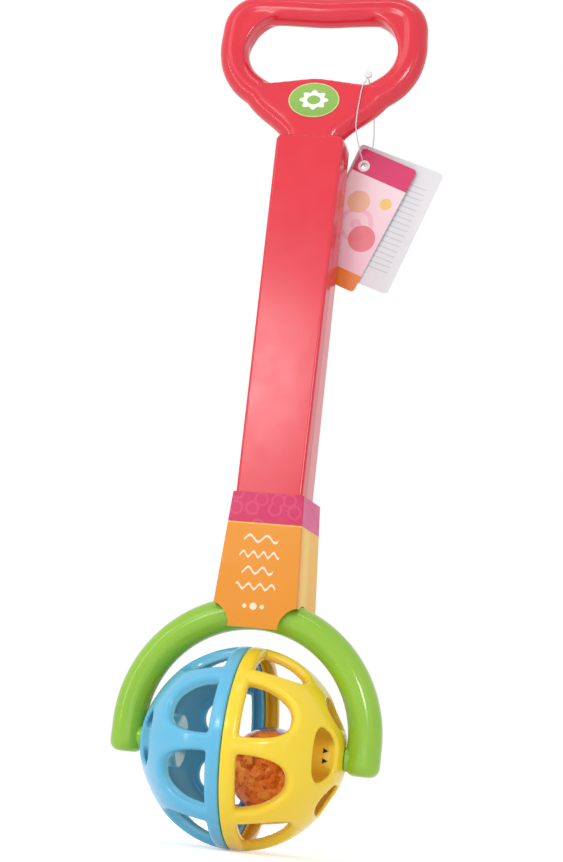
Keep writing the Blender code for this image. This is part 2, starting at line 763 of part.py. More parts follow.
def makePegSocket(end, cutters):
    shoulder = PEG_SEAT_X - TOUCH_GAP
    neckEnd = shoulder + PEG_NECK_LENGTH - TOUCH_GAP
    headEnd = shoulder + PEG_NECK_LENGTH + PEG_HEAD_LENGTH + TOUCH_GAP
    profile = [
        (0.0, headEnd),
        (PEG_HEAD_RADIUS + TOUCH_GAP, headEnd),
        (PEG_HEAD_RADIUS + TOUCH_GAP, neckEnd),
        (PEG_NECK_RADIUS + TOUCH_GAP, neckEnd),
        (PEG_NECK_RADIUS + TOUCH_GAP, shoulder - OVERRUN),
        (0.0, shoulder - OVERRUN),
    ]
    name = "peg_socket_right" if end > 0 else "peg_socket_left"
    turn = Matrix.Translation(CAGE_CENTRE) @ Matrix.Rotation(math.radians(90 * end), 4, "Y")
    return hideCutter(turnedObject(name, profile, cutters, None, turn, 16, False))


# Screws, their posts and holes


def addScrewHoles(bores, recesses, side, place, halfDepth):
    boreRadius = SCREW_SHANK_RADIUS + TOUCH_GAP
    if side < 0:
        tip = place - Vector((0, SCREW_REACH + TOUCH_GAP, 0))
        addCylinder(bores, place + Vector((0, OVERRUN, 0)), tip, boreRadius)
    else:
        seat = place + Vector((0, SCREW_SEAT, 0))
        outside = place + Vector((0, halfDepth + OVERRUN, 0))
        addCylinder(bores, place - Vector((0, OVERRUN, 0)), seat + Vector((0, TOUCH_GAP, 0)), boreRadius)
        addCylinder(recesses, seat, outside, SCREW_HEAD_RADIUS + TOUCH_GAP)


def cutScrewHoles(shell, bores, recesses, cutters):
    # The two cuts stay apart, because a bore and its recess overlap
    for ending, shape in (("_bores", bores), ("_recesses", recesses)):
        if shape.verts:
            name = shell.name + ending
            cutter = placeObject(name, meshFromBmesh(name, shape), cutters)
            addBoolean(shell, "DIFFERENCE", hideCutter(cutter))
        else:
            shape.free()


def makeScrew(name, place, seat, reach, steel, parts, cutters):
    # Local +Z points to the back, where the head is
    turn = Matrix.Translation(place) @ Matrix.Rotation(math.radians(-90), 4, "X")
    headLow = seat + TOUCH_GAP
    headTop = headLow + SCREW_HEAD_HEIGHT
    profile = [
        (0.0, headTop),
        (SCREW_HEAD_RADIUS, headTop),
        (SCREW_HEAD_RADIUS, headLow),
        (SCREW_SHANK_RADIUS, headLow),
        (SCREW_SHANK_RADIUS, -reach),
        (0.0, -reach),
    ]
    screw = turnedObject(name, profile, parts, steel, turn, POST_STEPS, False)
    cross = bmesh.new()
    for long in ((1, 0), (0, 1)):
        half = SCREW_HEAD_RADIUS - SCREW_SLOT_WIDTH
        sizeX = half if long[0] else SCREW_SLOT_WIDTH / 2
        sizeY = half if long[1] else SCREW_SLOT_WIDTH / 2
        size = Vector((2 * sizeX, 2 * sizeY, SCREW_SLOT_DEPTH + OVERRUN))
        middle = Vector((0, 0, headTop - SCREW_SLOT_DEPTH + size.z / 2))
        sized = Matrix.Translation(middle) @ Matrix.Diagonal((*size, 1.0))
        bmesh.ops.create_cube(cross, size=1.0, matrix=sized)
    slot = placeObject(name + "_slot", meshFromBmesh(name + "_slot", cross), cutters, matrix=turn)
    addBoolean(screw, "DIFFERENCE", hideCutter(slot))
    screw.modifiers[-1].use_self = True


def otherHalfSpace(side, name, cutters):
    reach = SPLIT_BOX_REACH
    if side < 0:
        mesh = boxMesh(name + "_split", (-reach, -SPLIT_GAP / 2, -reach), (reach, reach, reach))
    else:
        mesh = boxMesh(name + "_split", (-reach, -reach, -reach), (reach, SPLIT_GAP / 2, reach))
    return hideCutter(placeObject(name + "_split", mesh, cutters))


# Grip and shaft shells


def ringPath():
    height = RING_TOP_Z - RING_BOTTOM_Z
    right = [(x * RING_HALF_WIDTH, 0.0, RING_BOTTOM_Z + z * height) for x, z in RING_SHARES]
    left = [(-x, y, z) for x, y, z in reversed(right[1:-1])]
    return smoothPath(right + left, RING_STEPS_PER_SPAN, True)


def webOutline(inset):
    height = WEB_TOP_Z - WEB_BOTTOM_Z
    right = []
    for across, up in WEB_SHARES:
        x = max(across * WEB_HALF_WIDTH - inset, 0.0)
        z = WEB_BOTTOM_Z + up * height
        if across < WEB_SHOULDER_SHARE and up > WEB_CROWN_SHARE:
            z -= inset
        right.append((x, z))
    left = [(-x, z) for x, z in reversed(right[1:])]
    return right + left


def shaftSize(z, top, bottom):
    return top + (bottom - top) * (SHAFT_TOP_Z - z) / (SHAFT_TOP_Z - SHAFT_BOTTOM_Z)


def shaftHalfWidth(z):
    return shaftSize(z, SHAFT_TOP_WIDTH, SHAFT_BOTTOM_WIDTH) / 2


def shaftDepth(side, z):
    # From the parting plane to the front or the rear face
    if side < 0:
        return shaftSize(z, SHAFT_TOP_FRONT_DEPTH, SHAFT_BOTTOM_FRONT_DEPTH)
    return shaftSize(z, SHAFT_TOP_REAR_DEPTH, SHAFT_BOTTOM_REAR_DEPTH)


def shaftMesh(name, side, inset, low):
    # A box whose sections follow the taper; its outer edges and its shoulders are rounded
    shape = bmesh.new()
    bmesh.ops.create_cube(shape, size=2.0)
    top = SHAFT_TOP_Z - inset
    draft = SHAFT_FRONT_DRAFT if side < 0 else SHAFT_REAR_DRAFT
    for vert in shape.verts:
        z = top if vert.co.z > 0 else low
        outer = vert.co.y * side > 0
        y = side * (shaftDepth(side, z) - inset) if outer else -side * OVERRUN
        halfWidth = shaftHalfWidth(z) - inset - (draft if outer else 0)
        vert.co = Vector((math.copysign(halfWidth, vert.co.x), y, z))
    picked = []
    for edge in shape.edges:
        outer = all(vert.co.y * side > OVERRUN for vert in edge.verts)
        upper = all(vert.co.z > (top + low) / 2 for vert in edge.verts)
        lower = all(vert.co.z < (top + low) / 2 for vert in edge.verts)
        if (outer and not lower) or (upper and edge.verts[0].co.x * edge.verts[1].co.x > 0):
            picked.append(edge)
    bmesh.ops.bevel(
        shape,
        geom=picked,
        offset=SHAFT_EDGE_RADIUS - inset / 2,
        segments=SHAFT_EDGE_STEPS,
        profile=0.5,
        affect="EDGES",
    )
    return meshFromBmesh(name, shape)


def shellScrewPlaces(side):
    ringZ = RING_BOTTOM_Z + RING_SCREW_SHARE * (RING_TOP_Z - RING_BOTTOM_Z)
    places = [
        (Vector((-RING_HALF_WIDTH, 0.0, ringZ)), GRIP_RADIUS),
        (Vector((RING_HALF_WIDTH, 0.0, ringZ)), GRIP_RADIUS),
        (Vector((0.0, 0.0, WEB_SCREW_Z)), WEB_HALF_DEPTH),
    ]
    for share in SHAFT_SCREW_SHARES:
        z = SHAFT_TOP_Z - share * SHAFT_LENGTH
        places.append((Vector((0.0, 0.0, z)), shaftDepth(side, z)))
    return places


def makeShell(side, name, material, parts, cutters):
    shell = placeObject(name, tubeMesh(name, ringPath(), GRIP_RADIUS, closed=True), parts, material)
    smooth(shell)
    web = plateMesh(name + "_web", [webOutline(0.0)], WEB_HALF_DEPTH, WEB_ROUND)
    webObject = hideCutter(placeObject(name + "_web", web, cutters))
    shaft = shaftMesh(name + "_shaft", side, 0.0, SHAFT_BOTTOM_Z)
    shaftObject = hideCutter(placeObject(name + "_shaft", shaft, cutters))
    hollowRing = tubeMesh(name + "_hollow", ringPath(), GRIP_RADIUS - SHELL_WALL, closed=True, resolution=2)
    hollow = hideCutter(placeObject(name + "_hollow", hollowRing, cutters))
    insideDepth = WEB_HALF_DEPTH - SHELL_WALL
    webInside = plateMesh(name + "_web_inside", [webOutline(SHELL_WALL)], insideDepth, WEB_ROUND / 2)
    webInsideObject = hideCutter(placeObject(name + "_web_inside", webInside, cutters))
    shaftInside = shaftMesh(name + "_shaft_inside", side, SHELL_WALL, SHAFT_BOTTOM_Z - OVERRUN)
    shaftInsideObject = hideCutter(placeObject(name + "_shaft_inside", shaftInside, cutters))
    addBoolean(hollow, "UNION", webInsideObject)
    addBoolean(hollow, "UNION", shaftInsideObject)
    posts = bmesh.new()
    bores = bmesh.new()
    recesses = bmesh.new()
    postRadius = REAR_POST_RADIUS if side > 0 else POST_RADIUS
    for place, halfDepth in shellScrewPlaces(side):
        end = side * (halfDepth - SHELL_WALL * (1 - POST_BITE_SHARE))
        addCylinder(posts, place, place + Vector((0, end, 0)), postRadius)
        addScrewHoles(bores, recesses, side, place, halfDepth)
    addStemPost(posts, bores, recesses, side)
    post = hideCutter(placeObject(name + "_posts", meshFromBmesh(name + "_posts", posts), cutters))
    addBoolean(shell, "UNION", webObject)
    addBoolean(shell, "UNION", shaftObject)
    addBoolean(shell, "DIFFERENCE", hollow)
    addBoolean(shell, "UNION", post)
    cutScrewHoles(shell, bores, recesses, cutters)
    addBoolean(shell, "DIFFERENCE", otherHalfSpace(side, name, cutters))


def addStemPost(posts, bores, recesses, side):
    place = Vector((0.0, 0.0, STEM_SCREW_Z))
    halfDepth = shaftDepth(side, STEM_SCREW_Z)
    start = side * (STEM_HALF_DEPTH + TOUCH_GAP)
    end = side * (halfDepth - SHELL_WALL * (1 - POST_BITE_SHARE))
    radius = REAR_POST_RADIUS if side > 0 else POST_RADIUS
    addCylinder(posts, place + Vector((0, start, 0)), place + Vector((0, end, 0)), radius)
    boreRadius = SCREW_SHANK_RADIUS + TOUCH_GAP
    boreStart = place + Vector((0, side * STEM_HALF_DEPTH, 0))
    if side < 0:
        tip = place + Vector((0, start - STEM_SCREW_BITE - TOUCH_GAP, 0))
        addCylinder(bores, boreStart, tip, boreRadius)
    else:
        seat = place + Vector((0, start + STEM_SEAT_WALL, 0))
        addCylinder(bores, boreStart, seat + Vector((0, TOUCH_GAP, 0)), boreRadius)
        outside = place + Vector((0, halfDepth + OVERRUN, 0))
        addCylinder(recesses, seat, outside, SCREW_HEAD_RADIUS + TOUCH_GAP)


def makeShellScrews(steel, parts, cutters):
    for number, (place, _) in enumerate(shellScrewPlaces(1), start=1):
        makeScrew("shell_screw_%d" % number, place, SCREW_SEAT, SCREW_REACH, steel, parts, cutters)
    seat = STEM_HALF_DEPTH + TOUCH_GAP + STEM_SEAT_WALL
    reach = STEM_HALF_DEPTH + TOUCH_GAP + STEM_SCREW_BITE
    makeScrew("stem_screw", Vector((0.0, 0.0, STEM_SCREW_Z)), seat, reach, steel, parts, cutters)
    for number, angle in enumerate(FORK_SCREW_DEGS, start=1):
        makeScrew("fork_screw_%d" % number, forkPlace(angle), SCREW_SEAT, SCREW_REACH, steel, parts, cutters)


# Label and card sleeve


def makeBadge(material, parts):
    outline = []
    steps = 28
    for step in range(steps):
        angle = 2 * math.pi * step / steps
        outline.append((BADGE_WIDTH / 2 * math.cos(angle), BADGE_HEIGHT / 2 * math.sin(angle)))
    y = -(WEB_HALF_DEPTH + STICKER_GAP + BADGE_THICKNESS / 2)
    place = Matrix.Translation((0.0, y, BADGE_Z))
    mesh = plateMesh("badge_sticker", [outline], BADGE_THICKNESS / 2, matrix=place)
    placeObject("badge_sticker", mesh, parts, material)


def sleeveMesh(name, inset, low, high):
    # A box that flares towards its foot, measured at the sleeve's top edge and its flare line,
    # and whose rear panel is wider than its front one
    shape = bmesh.new()
    bmesh.ops.create_cube(shape, size=2.0)
    slack = TOUCH_GAP + CARD_THICKNESS
    topHalfWidth = shaftHalfWidth(SLEEVE_TOP_Z) + slack
    run = SLEEVE_TOP_Z - SLEEVE_FLARE_Z
    for vert in shape.verts:
        side = -1 if vert.co.y < 0 else 1
        spread = 0.0 if side < 0 else SLEEVE_REAR_SPREAD
        topDepth = shaftDepth(side, SLEEVE_TOP_Z) + slack
        bottomDepth = SLEEVE_BOTTOM_FRONT_DEPTH if side < 0 else SLEEVE_BOTTOM_REAR_DEPTH
        z = high if vert.co.z > 0 else low
        down = (SLEEVE_TOP_Z - z) / run
        halfWidth = topHalfWidth + (SLEEVE_BOTTOM_HALF_WIDTH - topHalfWidth) * down + spread - inset
        depth = topDepth + (bottomDepth - topDepth) * down - inset
        vert.co = Vector((math.copysign(halfWidth, vert.co.x), side * depth, z))
    return meshFromBmesh(name, shape)


def makeSleeve(material, parts, cutters):
    mesh = sleeveMesh("card_sleeve", 0.0, SLEEVE_BOTTOM_Z, SLEEVE_TOP_Z)
    sleeve = placeObject("card_sleeve", mesh, parts, material)
    insideMesh = sleeveMesh("sleeve_inside", CARD_THICKNESS, SLEEVE_BOTTOM_Z - OVERRUN, SLEEVE_TOP_Z + OVERRUN)
    inside = hideCutter(placeObject("sleeve_inside", insideMesh, cutters))
    notches = bmesh.new()
    reach = SLEEVE_BOTTOM_REAR_DEPTH + OVERRUN
    for end in (-1, 1):
        x = end * (SLEEVE_TAB_HALF_WIDTH + SLEEVE_NOTCH_RADIUS)
        addCylinder(notches, (x, -reach, SLEEVE_BOTTOM_Z), (x, reach, SLEEVE_BOTTOM_Z), SLEEVE_NOTCH_RADIUS, 32)
    notch = hideCutter(placeObject("sleeve_notches", meshFromBmesh("sleeve_notches", notches), cutters))
    # the rear tab is shorter than the front one
    low = SLEEVE_BOTTOM_Z - OVERRUN
    high = SLEEVE_BOTTOM_Z + SLEEVE_REAR_TAB_SHORTER
    trim = bmesh.new()
    middle = Matrix.Translation((0.0, reach / 2, (low + high) / 2))
    size = Matrix.Diagonal((2 * SLEEVE_BOTTOM_HALF_WIDTH, reach, high - low, 1.0))
    bmesh.ops.create_cube(trim, size=1.0, matrix=middle @ size)
    trimObject = hideCutter(placeObject("sleeve_rear_trim", meshFromBmesh("sleeve_rear_trim", trim), cutters))
    tube = forkArc(SLEEVE_TUBE_CLEARANCE, "sleeve_tube_clearance")
    tubeObject = hideCutter(placeObject("sleeve_tube_clearance", tube, cutters))
    addBoolean(sleeve, "DIFFERENCE", inside)
    addBoolean(sleeve, "DIFFERENCE", notch)
    addBoolean(sleeve, "DIFFERENCE", trimObject)
    addBoolean(sleeve, "DIFFERENCE", tubeObject)


# Chime ball and what is in it


def chimeCentre():
    lie = CAGE_FLANGE_RADIUS - CHIME_RADIUS - CHIME_LIE_GAP
    around = math.sqrt(lie**2 - CHIME_X**2)
    angle = math.radians(CHIME_LIE_DEG)
    return CAGE_CENTRE + Vector((CHIME_X, around * math.sin(angle), -around * math.cos(angle)))


def chimeMatrix():
    return Matrix.Translation(chimeCentre()) @ Matrix.Rotation(math.radians(CHIME_TILT_DEG), 4, "X")


def chimeHalfProfile():
    inner = CHIME_RADIUS - CHIME_WALL
    outerArc = []
    innerArc = []
    for step in range(CHIME_ARC_STEPS + 1):
        angle = math.pi / 2 * (1 - step / CHIME_ARC_STEPS)
        outerArc.append((CHIME_RADIUS * math.cos(angle), max(CHIME_RADIUS * math.sin(angle), SPLIT_GAP / 2)))
        innerArc.append((inner * math.cos(angle), max(inner * math.sin(angle), SPLIT_GAP / 2)))
    return outerArc + list(reversed(innerArc))


def makeChime(materials, parts, cutters):
    base = chimeMatrix()
    flip = base @ Matrix.Rotation(math.radians(180), 4, "X")
    profile = chimeHalfProfile()
    turnedObject("chime_orange_half", profile, parts, materials["orange"], base, CHIME_STEPS, False)
    turnedObject("chime_clear_half", profile, parts, materials["clear"], flip, CHIME_STEPS, False)
    makeChimeFrame(materials["white"], base, parts, cutters)
    for number, reach in enumerate(TINE_REACHES):
        angle = 2 * math.pi * (number + 1) / len(TINE_REACHES)
        foot = Vector((math.sin(angle), math.cos(angle), 0.0)) * TINE_CIRCLE_RADIUS
        low = FRAME_PLATE_TOP - FRAME_PLATE_THICKNESS
        tineProfile = [(0.0, reach), (TINE_RADIUS, reach), (TINE_RADIUS, low), (0.0, low)]
        place = base @ Matrix.Translation(foot)
        turnedObject("chime_tine_%d" % (number + 1), tineProfile, parts, materials["steel"], place, 8, False)
    makeStriker(materials["brass"], base, parts, cutters)
    ride = CHIME_RADIUS - CHIME_WALL - BEAD_RADIUS - BEAD_GAP
    for number, (fromPoleDeg, aroundDeg) in enumerate(BEAD_PLACES_DEG, start=1):
        latitude = math.radians(90 - fromPoleDeg)
        place = base @ Matrix.Translation(directionOf(latitude, math.radians(aroundDeg)) * ride)
        shape = bmesh.new()
        bmesh.ops.create_uvsphere(shape, u_segments=8, v_segments=6, radius=BEAD_RADIUS)
        name = "chime_bead_%d" % number
        bead = placeObject(name, meshFromBmesh(name, shape), parts, materials["bead"], place)
        smooth(bead)


def makeChimeFrame(material, base, parts, cutters):
    inner = CHIME_RADIUS - CHIME_WALL - FRAME_SEAT_GAP
    foot = -math.sqrt(inner**2 - FRAME_POST_RADIUS**2)
    plateLow = FRAME_PLATE_TOP - FRAME_PLATE_THICKNESS
    socketLow = FRAME_PLATE_TOP - STRIKER_PIVOT_DROP - STRIKER_KNOB_RADIUS - RUNNING_GAP
    socketRadius = STRIKER_KNOB_RADIUS + RUNNING_GAP
    profile = [
        (0.0, socketLow),
        (socketRadius, socketLow),
        (socketRadius, FRAME_PLATE_TOP - STRIKER_LIP_HEIGHT),
        (STRIKER_LIP_RADIUS, FRAME_PLATE_TOP - STRIKER_LIP_HEIGHT),
        (STRIKER_LIP_RADIUS, FRAME_PLATE_TOP),
        (FRAME_PLATE_RADIUS, FRAME_PLATE_TOP),
        (FRAME_PLATE_RADIUS, plateLow),
        (FRAME_POST_RADIUS, plateLow),
        (FRAME_POST_RADIUS, foot),
        (0.0, foot),
    ]
    frame = turnedObject("chime_frame", profile, parts, material, base, 16, False)
    holes = bmesh.new()
    for number in range(len(TINE_REACHES)):
        angle = 2 * math.pi * (number + 1) / len(TINE_REACHES)
        foot = Vector((math.sin(angle), math.cos(angle), 0.0)) * TINE_CIRCLE_RADIUS
        start = foot + Vector((0, 0, plateLow - OVERRUN))
        addCylinder(holes, start, foot + Vector((0, 0, FRAME_PLATE_TOP + OVERRUN)), TINE_RADIUS + TOUCH_GAP, 8)
    hole = placeObject("frame_holes", meshFromBmesh("frame_holes", holes), cutters, matrix=base)
    addBoolean(frame, "DIFFERENCE", hideCutter(hole))


def makeStriker(material, base, parts, cutters):
    pivot = base @ Matrix.Translation((0.0, 0.0, FRAME_PLATE_TOP - STRIKER_PIVOT_DROP))
    rod = bmesh.new()
    addCylinder(rod, (0, 0, 0), (0, 0, STRIKER_LENGTH), STRIKER_ROD_RADIUS, 8)
    striker = placeObject("chime_striker", meshFromBmesh("chime_striker", rod), parts, material, pivot)
    balls = bmesh.new()
    bmesh.ops.create_uvsphere(balls, u_segments=8, v_segments=6, radius=STRIKER_KNOB_RADIUS)
    bob = Matrix.Translation((0, 0, STRIKER_LENGTH))
    bmesh.ops.create_uvsphere(balls, u_segments=10, v_segments=8, radius=STRIKER_BOB_RADIUS, matrix=bob)
    ball = placeObject("striker_balls", meshFromBmesh("striker_balls", balls), cutters, matrix=pivot)
    addBoolean(striker, "UNION", hideCutter(ball))


# Swing tag


def roundedRectangle(width, height, corner):
    outline = []
    for sideX, sideZ, startDeg in ((1, 1, 0), (-1, 1, 90), (-1, -1, 180), (1, -1, 270)):
        for step in range(4):
            angle = math.radians(startDeg + 90 * step / 3)
            x = sideX * (width / 2 - corner) + corner * math.cos(angle)
            outline.append((x, sideZ * (height / 2 - corner) + corner * math.sin(angle)))
    return outline


def makeLeaf(name, size, shift, y, leanDeg, material, parts):
    centre = Vector((TAG_HOLE_X + shift[0], y, TAG_HOLE_Z + shift[1]))
    place = Matrix.Translation(centre) @ Matrix.Rotation(math.radians(leanDeg), 4, "Y")
    hole = place.inverted() @ Vector((TAG_HOLE_X, y, TAG_HOLE_Z))
    ring = []
    steps = 12
    for step in range(steps):
        angle = -2 * math.pi * step / steps
        ring.append((hole.x + LEAF_HOLE_RADIUS * math.cos(angle), hole.z + LEAF_HOLE_RADIUS * math.sin(angle)))
    outlines = [roundedRectangle(size[0], size[1], LEAF_CORNER), ring]
    placeObject(name, plateMesh(name, outlines, LEAF_THICKNESS / 2, matrix=place), parts, material)


def makeTag(materials, parts):
    front = (LEAF_FRONT_SIZE, LEAF_FRONT_SHIFT, LEAF_FRONT_Y, LEAF_FRONT_LEAN_DEG, materials["pink"])
    makeLeaf("tag_front_leaf", *front, parts)
    rear = (LEAF_REAR_SIZE, LEAF_REAR_SHIFT, LEAF_REAR_Y, LEAF_REAR_LEAN_DEG, materials["paper"])
    makeLeaf("tag_rear_leaf", *rear, parts)
    path = smoothPath(LINE_ROUTE, LINE_STEPS_PER_SPAN, False)
    line = tubeMesh("tag_loop", path, LINE_RADIUS, resolution=2)
    placeObject("tag_loop", line, parts, materials["nylon"])
    button = bmesh.new()
    ends = (Vector(LINE_ROUTE[0]) + Vector(LINE_ROUTE[-1])) / 2
    centre = ends + Vector((0, 0, BUTTON_RADIUS + LINE_RADIUS))
    half = Vector((0, BUTTON_THICKNESS / 2, 0))
    addCylinder(button, centre - half, centre + half, BUTTON_RADIUS, 16)
    placeObject("tag_button", meshFromBmesh("tag_button", button), parts, materials["nylon"])


def main():
    clearScene()
    parts = makeCollection("push_toy", False)
    cutters = makeCollection("cutters", True)
    red = makeMaterial("red_plastic", "E8404F", 0.22)
    green = makeMaterial("green_plastic", "96C83C", 0.22)
    blue = makeMaterial("blue_plastic", "5FB5E3", 0.3)
    yellow = makeMaterial("yellow_plastic", "F8D333", 0.3)
    steel = makeMaterial("steel", "B9BDC2", 0.3, 1.0)
    chimeMaterials = {
        "orange": makeMaterial("orange_clear_plastic", "E2611C", 0.12, alpha=0.75),
        "clear": makeMaterial("clear_plastic", "D9CFE6", 0.1, alpha=0.35),
        "white": makeMaterial("white_plastic", "EDEBE6", 0.4),
        "steel": steel,
        "brass": makeMaterial("brass", "B98A3C", 0.3, 1.0),
        "bead": makeMaterial("bead_plastic", "E8872E", 0.3),
    }
    tagMaterials = {
        "pink": makeMaterial("pink_card", "DC2E63", 0.5),
        "paper": makeMaterial("white_card", "E9E9EC", 0.6),
        "nylon": makeMaterial("nylon_line", "E6E6E6", 0.3, alpha=0.8),
    }
    makeCageHalf("blue_cage_half", -1, blue, parts, cutters)
    makeCageHalf("yellow_cage_half", 1, yellow, parts, cutters)
    makeAxle(-1, "left", green, steel, parts)
    makeAxle(1, "right", green, steel, parts)
    makeChime(chimeMaterials, parts, cutters)
    sockets = [makePegSocket(end, cutters) for end in (-1, 1)]
    makeFork(-1, "fork_front_shell", green, sockets, parts, cutters)
    makeFork(1, "fork_rear_shell", green, sockets, parts, cutters)
    makeShell(-1, "handle_front_shell", red, parts, cutters)
    makeShell(1, "handle_rear_shell", red, parts, cutters)
    makeShellScrews(steel, parts, cutters)
    makeBadge(makeMaterial("badge_print", "96C15A", 0.35), parts)
    makeSleeve(makeMaterial("orange_card", "F39A32", 0.45), parts, cutters)
    makeTag(tagMaterials, parts)


main()
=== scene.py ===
import math
import bpy
from mathutils import Matrix, Vector


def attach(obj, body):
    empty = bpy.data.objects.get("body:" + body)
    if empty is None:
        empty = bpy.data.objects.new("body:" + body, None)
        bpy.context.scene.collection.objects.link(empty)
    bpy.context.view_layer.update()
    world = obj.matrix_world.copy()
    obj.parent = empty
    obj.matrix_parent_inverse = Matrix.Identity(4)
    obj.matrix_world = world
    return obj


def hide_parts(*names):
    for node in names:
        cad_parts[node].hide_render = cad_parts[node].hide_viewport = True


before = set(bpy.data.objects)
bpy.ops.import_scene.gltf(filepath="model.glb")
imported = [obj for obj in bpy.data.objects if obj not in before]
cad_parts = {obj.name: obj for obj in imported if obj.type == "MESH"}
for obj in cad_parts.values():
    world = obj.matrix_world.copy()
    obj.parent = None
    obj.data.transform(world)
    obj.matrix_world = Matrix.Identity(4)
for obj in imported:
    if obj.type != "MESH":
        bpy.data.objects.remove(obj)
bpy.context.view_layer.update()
print("frame loaded")


# picking and finishing

closeness = {"weld": 0.000004, "slice": 0.0000001}


def leaveEdit():
    bpy.ops.object.mode_set(mode="OBJECT")


def dropAll():
    if bpy.context.mode != "OBJECT":
        leaveEdit()
    bpy.ops.object.select_all(action="DESELECT")


def take(piece):
    dropAll()
    piece.select_set(True)
    bpy.context.view_layer.objects.active = piece
    return piece


def editAll(piece):
    take(piece)
    bpy.ops.object.mode_set(mode="EDIT")
    bpy.ops.mesh.select_all(action="SELECT")


def applyMod(piece, kind, **settings):
    take(piece)
    modifier = piece.modifiers.new(kind.title(), kind)
    for key, value in settings.items():
        setattr(modifier, key, value)
    bpy.ops.object.modifier_apply(modifier=modifier.name)


def smoothOver(piece, size):
    # joined forms flow into each other
    applyMod(piece, "REMESH", mode="VOXEL", voxel_size=size["voxel"])
    applyMod(piece, "SMOOTH", factor=0.5, iterations=size["smoothing"])


def settle(piece):
    # the place goes into the mesh
    take(piece)
    bpy.ops.object.transform_apply(location=True, rotation=True, scale=True)
    return piece


def joined(pieces):
    dropAll()
    for piece in pieces:
        piece.select_set(True)
    bpy.context.view_layer.objects.active = pieces[0]
    if len(pieces) > 1:
        bpy.ops.object.join()
    return pieces[0]


def cutWith(piece, tool, operation="DIFFERENCE"):
    applyMod(piece, "BOOLEAN", operation=operation, object=tool, solver="EXACT")
    bpy.data.objects.remove(tool, do_unlink=True)


def sliceOff(piece, point, normal, fill=True):
    # what lies on the arrow side of the plane goes
    editAll(piece)
    bpy.ops.mesh.bisect(
        plane_co=point, plane_no=normal, use_fill=fill, clear_outer=True, threshold=closeness["slice"],
    )
    leaveEdit()


def crossCuts(axis, low, high, count):
    # plain cuts at even steps along an axis, through all of the mesh in edit mode
    for step in range(1, count):
        along = low + (high - low) * step / count
        bpy.ops.mesh.select_all(action="SELECT")
        bpy.ops.mesh.bisect(plane_co=[part * along for part in axis], plane_no=axis)


def weld(piece):
    editAll(piece)
    bpy.ops.mesh.remove_doubles(threshold=closeness["weld"])
    bpy.ops.mesh.normals_make_consistent(inside=False)
    leaveEdit()


def fresh(add, **settings):
    dropAll()
    add(**settings)
    return bpy.context.object


def copyOf(piece, name):
    copy = piece.copy()
    copy.data = piece.data.copy()
    copy.name = name
    copy.data.name = name
    bpy.context.scene.collection.objects.link(copy)
    return copy


def softShade(piece, degrees, flats=False):
    take(piece)
    bpy.ops.object.shade_smooth_by_angle(angle=math.radians(degrees))
    if flats:  # broad flat faces keep their own normal beside a rounded edge
        applyMod(piece, "WEIGHTED_NORMAL", keep_sharp=True, weight=50)


def handOver(piece, name, body, nodeName):
    settle(piece)
    piece.name = piece.data.name = name
    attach(piece, body)
    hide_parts(nodeName)
    print("  ", name, sum(len(face.vertices) - 2 for face in piece.data.polygons), "triangles")
    return piece


def finishPiece(piece, name, body, material, nodeName):
    piece.data.materials.clear()
    piece.data.materials.append(material)
    return handOver(piece, name, body, nodeName)


def pickEdges(piece, test):
    # leaves the mesh in edit mode with the edges picked by their two ends
    take(piece)
    bpy.ops.object.mode_set(mode="EDIT")
    bpy.ops.mesh.select_mode(type="EDGE")
    bpy.ops.mesh.select_all(action="DESELECT")
    leaveEdit()
    points = piece.data.vertices
    for edge in piece.data.edges:
        edge.select = test(points[edge.vertices[0]].co, points[edge.vertices[1]].co)
    bpy.ops.object.mode_set(mode="EDIT")


def roundEdges(piece, test, offset, segments):
    pickEdges(piece, test)
    bpy.ops.mesh.bevel(offset=offset, segments=segments, affect="EDGES")
    leaveEdit()


def addBox(size, centre=(0, 0, 0)):
    box = fresh(bpy.ops.mesh.primitive_cube_add, size=1, location=centre)
    box.scale = size
    return settle(box)


def turnTo(piece, centre, degrees):
    # leaned about Y, then moved to its centre
    piece.matrix_world = Matrix.Translation(centre) @ Matrix.Rotation(math.radians(degrees), 4, "Y")
    return settle(piece)


def rod(start, end, radius, sides=32):
    start, end = Vector(start), Vector(end)
    along = end - start
    piece = fresh(
        bpy.ops.mesh.primitive_cylinder_add, vertices=sides, radius=radius, depth=along.length,
        location=(start + end) / 2,
    )
    piece.rotation_mode = "QUATERNION"
    piece.rotation_quaternion = along.to_track_quat("Z", "Y")
    return settle(piece)


# camera

cameraView = {
    "place": (0.25462, -1.12019, 0.04479),
    "right": (0.97306, 0.20196, 0.11119),
    "up": (-0.07222, -0.19100, 0.97893),
    "back": (0.21894, -0.96059, -0.17127),
    "sensor": 36,
    "lens": 107.93,
    "shift": (0.01705, 0.10641),
    "clip": (0.01, 20),
}


def makeCamera():
    data = bpy.data.cameras.new("camera")
    camera = bpy.data.objects.new("camera", data)
    bpy.context.scene.collection.objects.link(camera)
    columns = [cameraView[key] for key in ("right", "up", "back", "place")]
    camera.matrix_world = Matrix([[column[row] for column in columns] for row in range(3)] + [[0, 0, 0, 1]])
    data.sensor_fit = "HORIZONTAL"
    data.sensor_width = cameraView["sensor"]
    data.lens = cameraView["lens"]
    data.shift_x, data.shift_y = cameraView["shift"]
    data.clip_start, data.clip_end = cameraView["clip"]
    bpy.context.scene.camera = camera


makeCamera()
print("camera set")


# shared effects

surfaceOutputs = {"Colour": "Color", "Roughness": "Float", "Normal": "Vector"}


def newGroup(name, inputs):
    group = bpy.data.node_groups.new(name, "ShaderNodeTree")
    for side, sockets in (("INPUT", inputs), ("OUTPUT", surfaceOutputs)):
        for label, kind in sockets.items():
            group.interface.new_socket(name=label, in_out=side, socket_type="NodeSocket" + kind)
    return group, group.nodes.new("NodeGroupInput"), group.nodes.new("NodeGroupOutput")


def node(tree, kind, **settings):
    made = tree.nodes.new(kind)
    for key, value in settings.items():
        setattr(made, key, value)
    return made


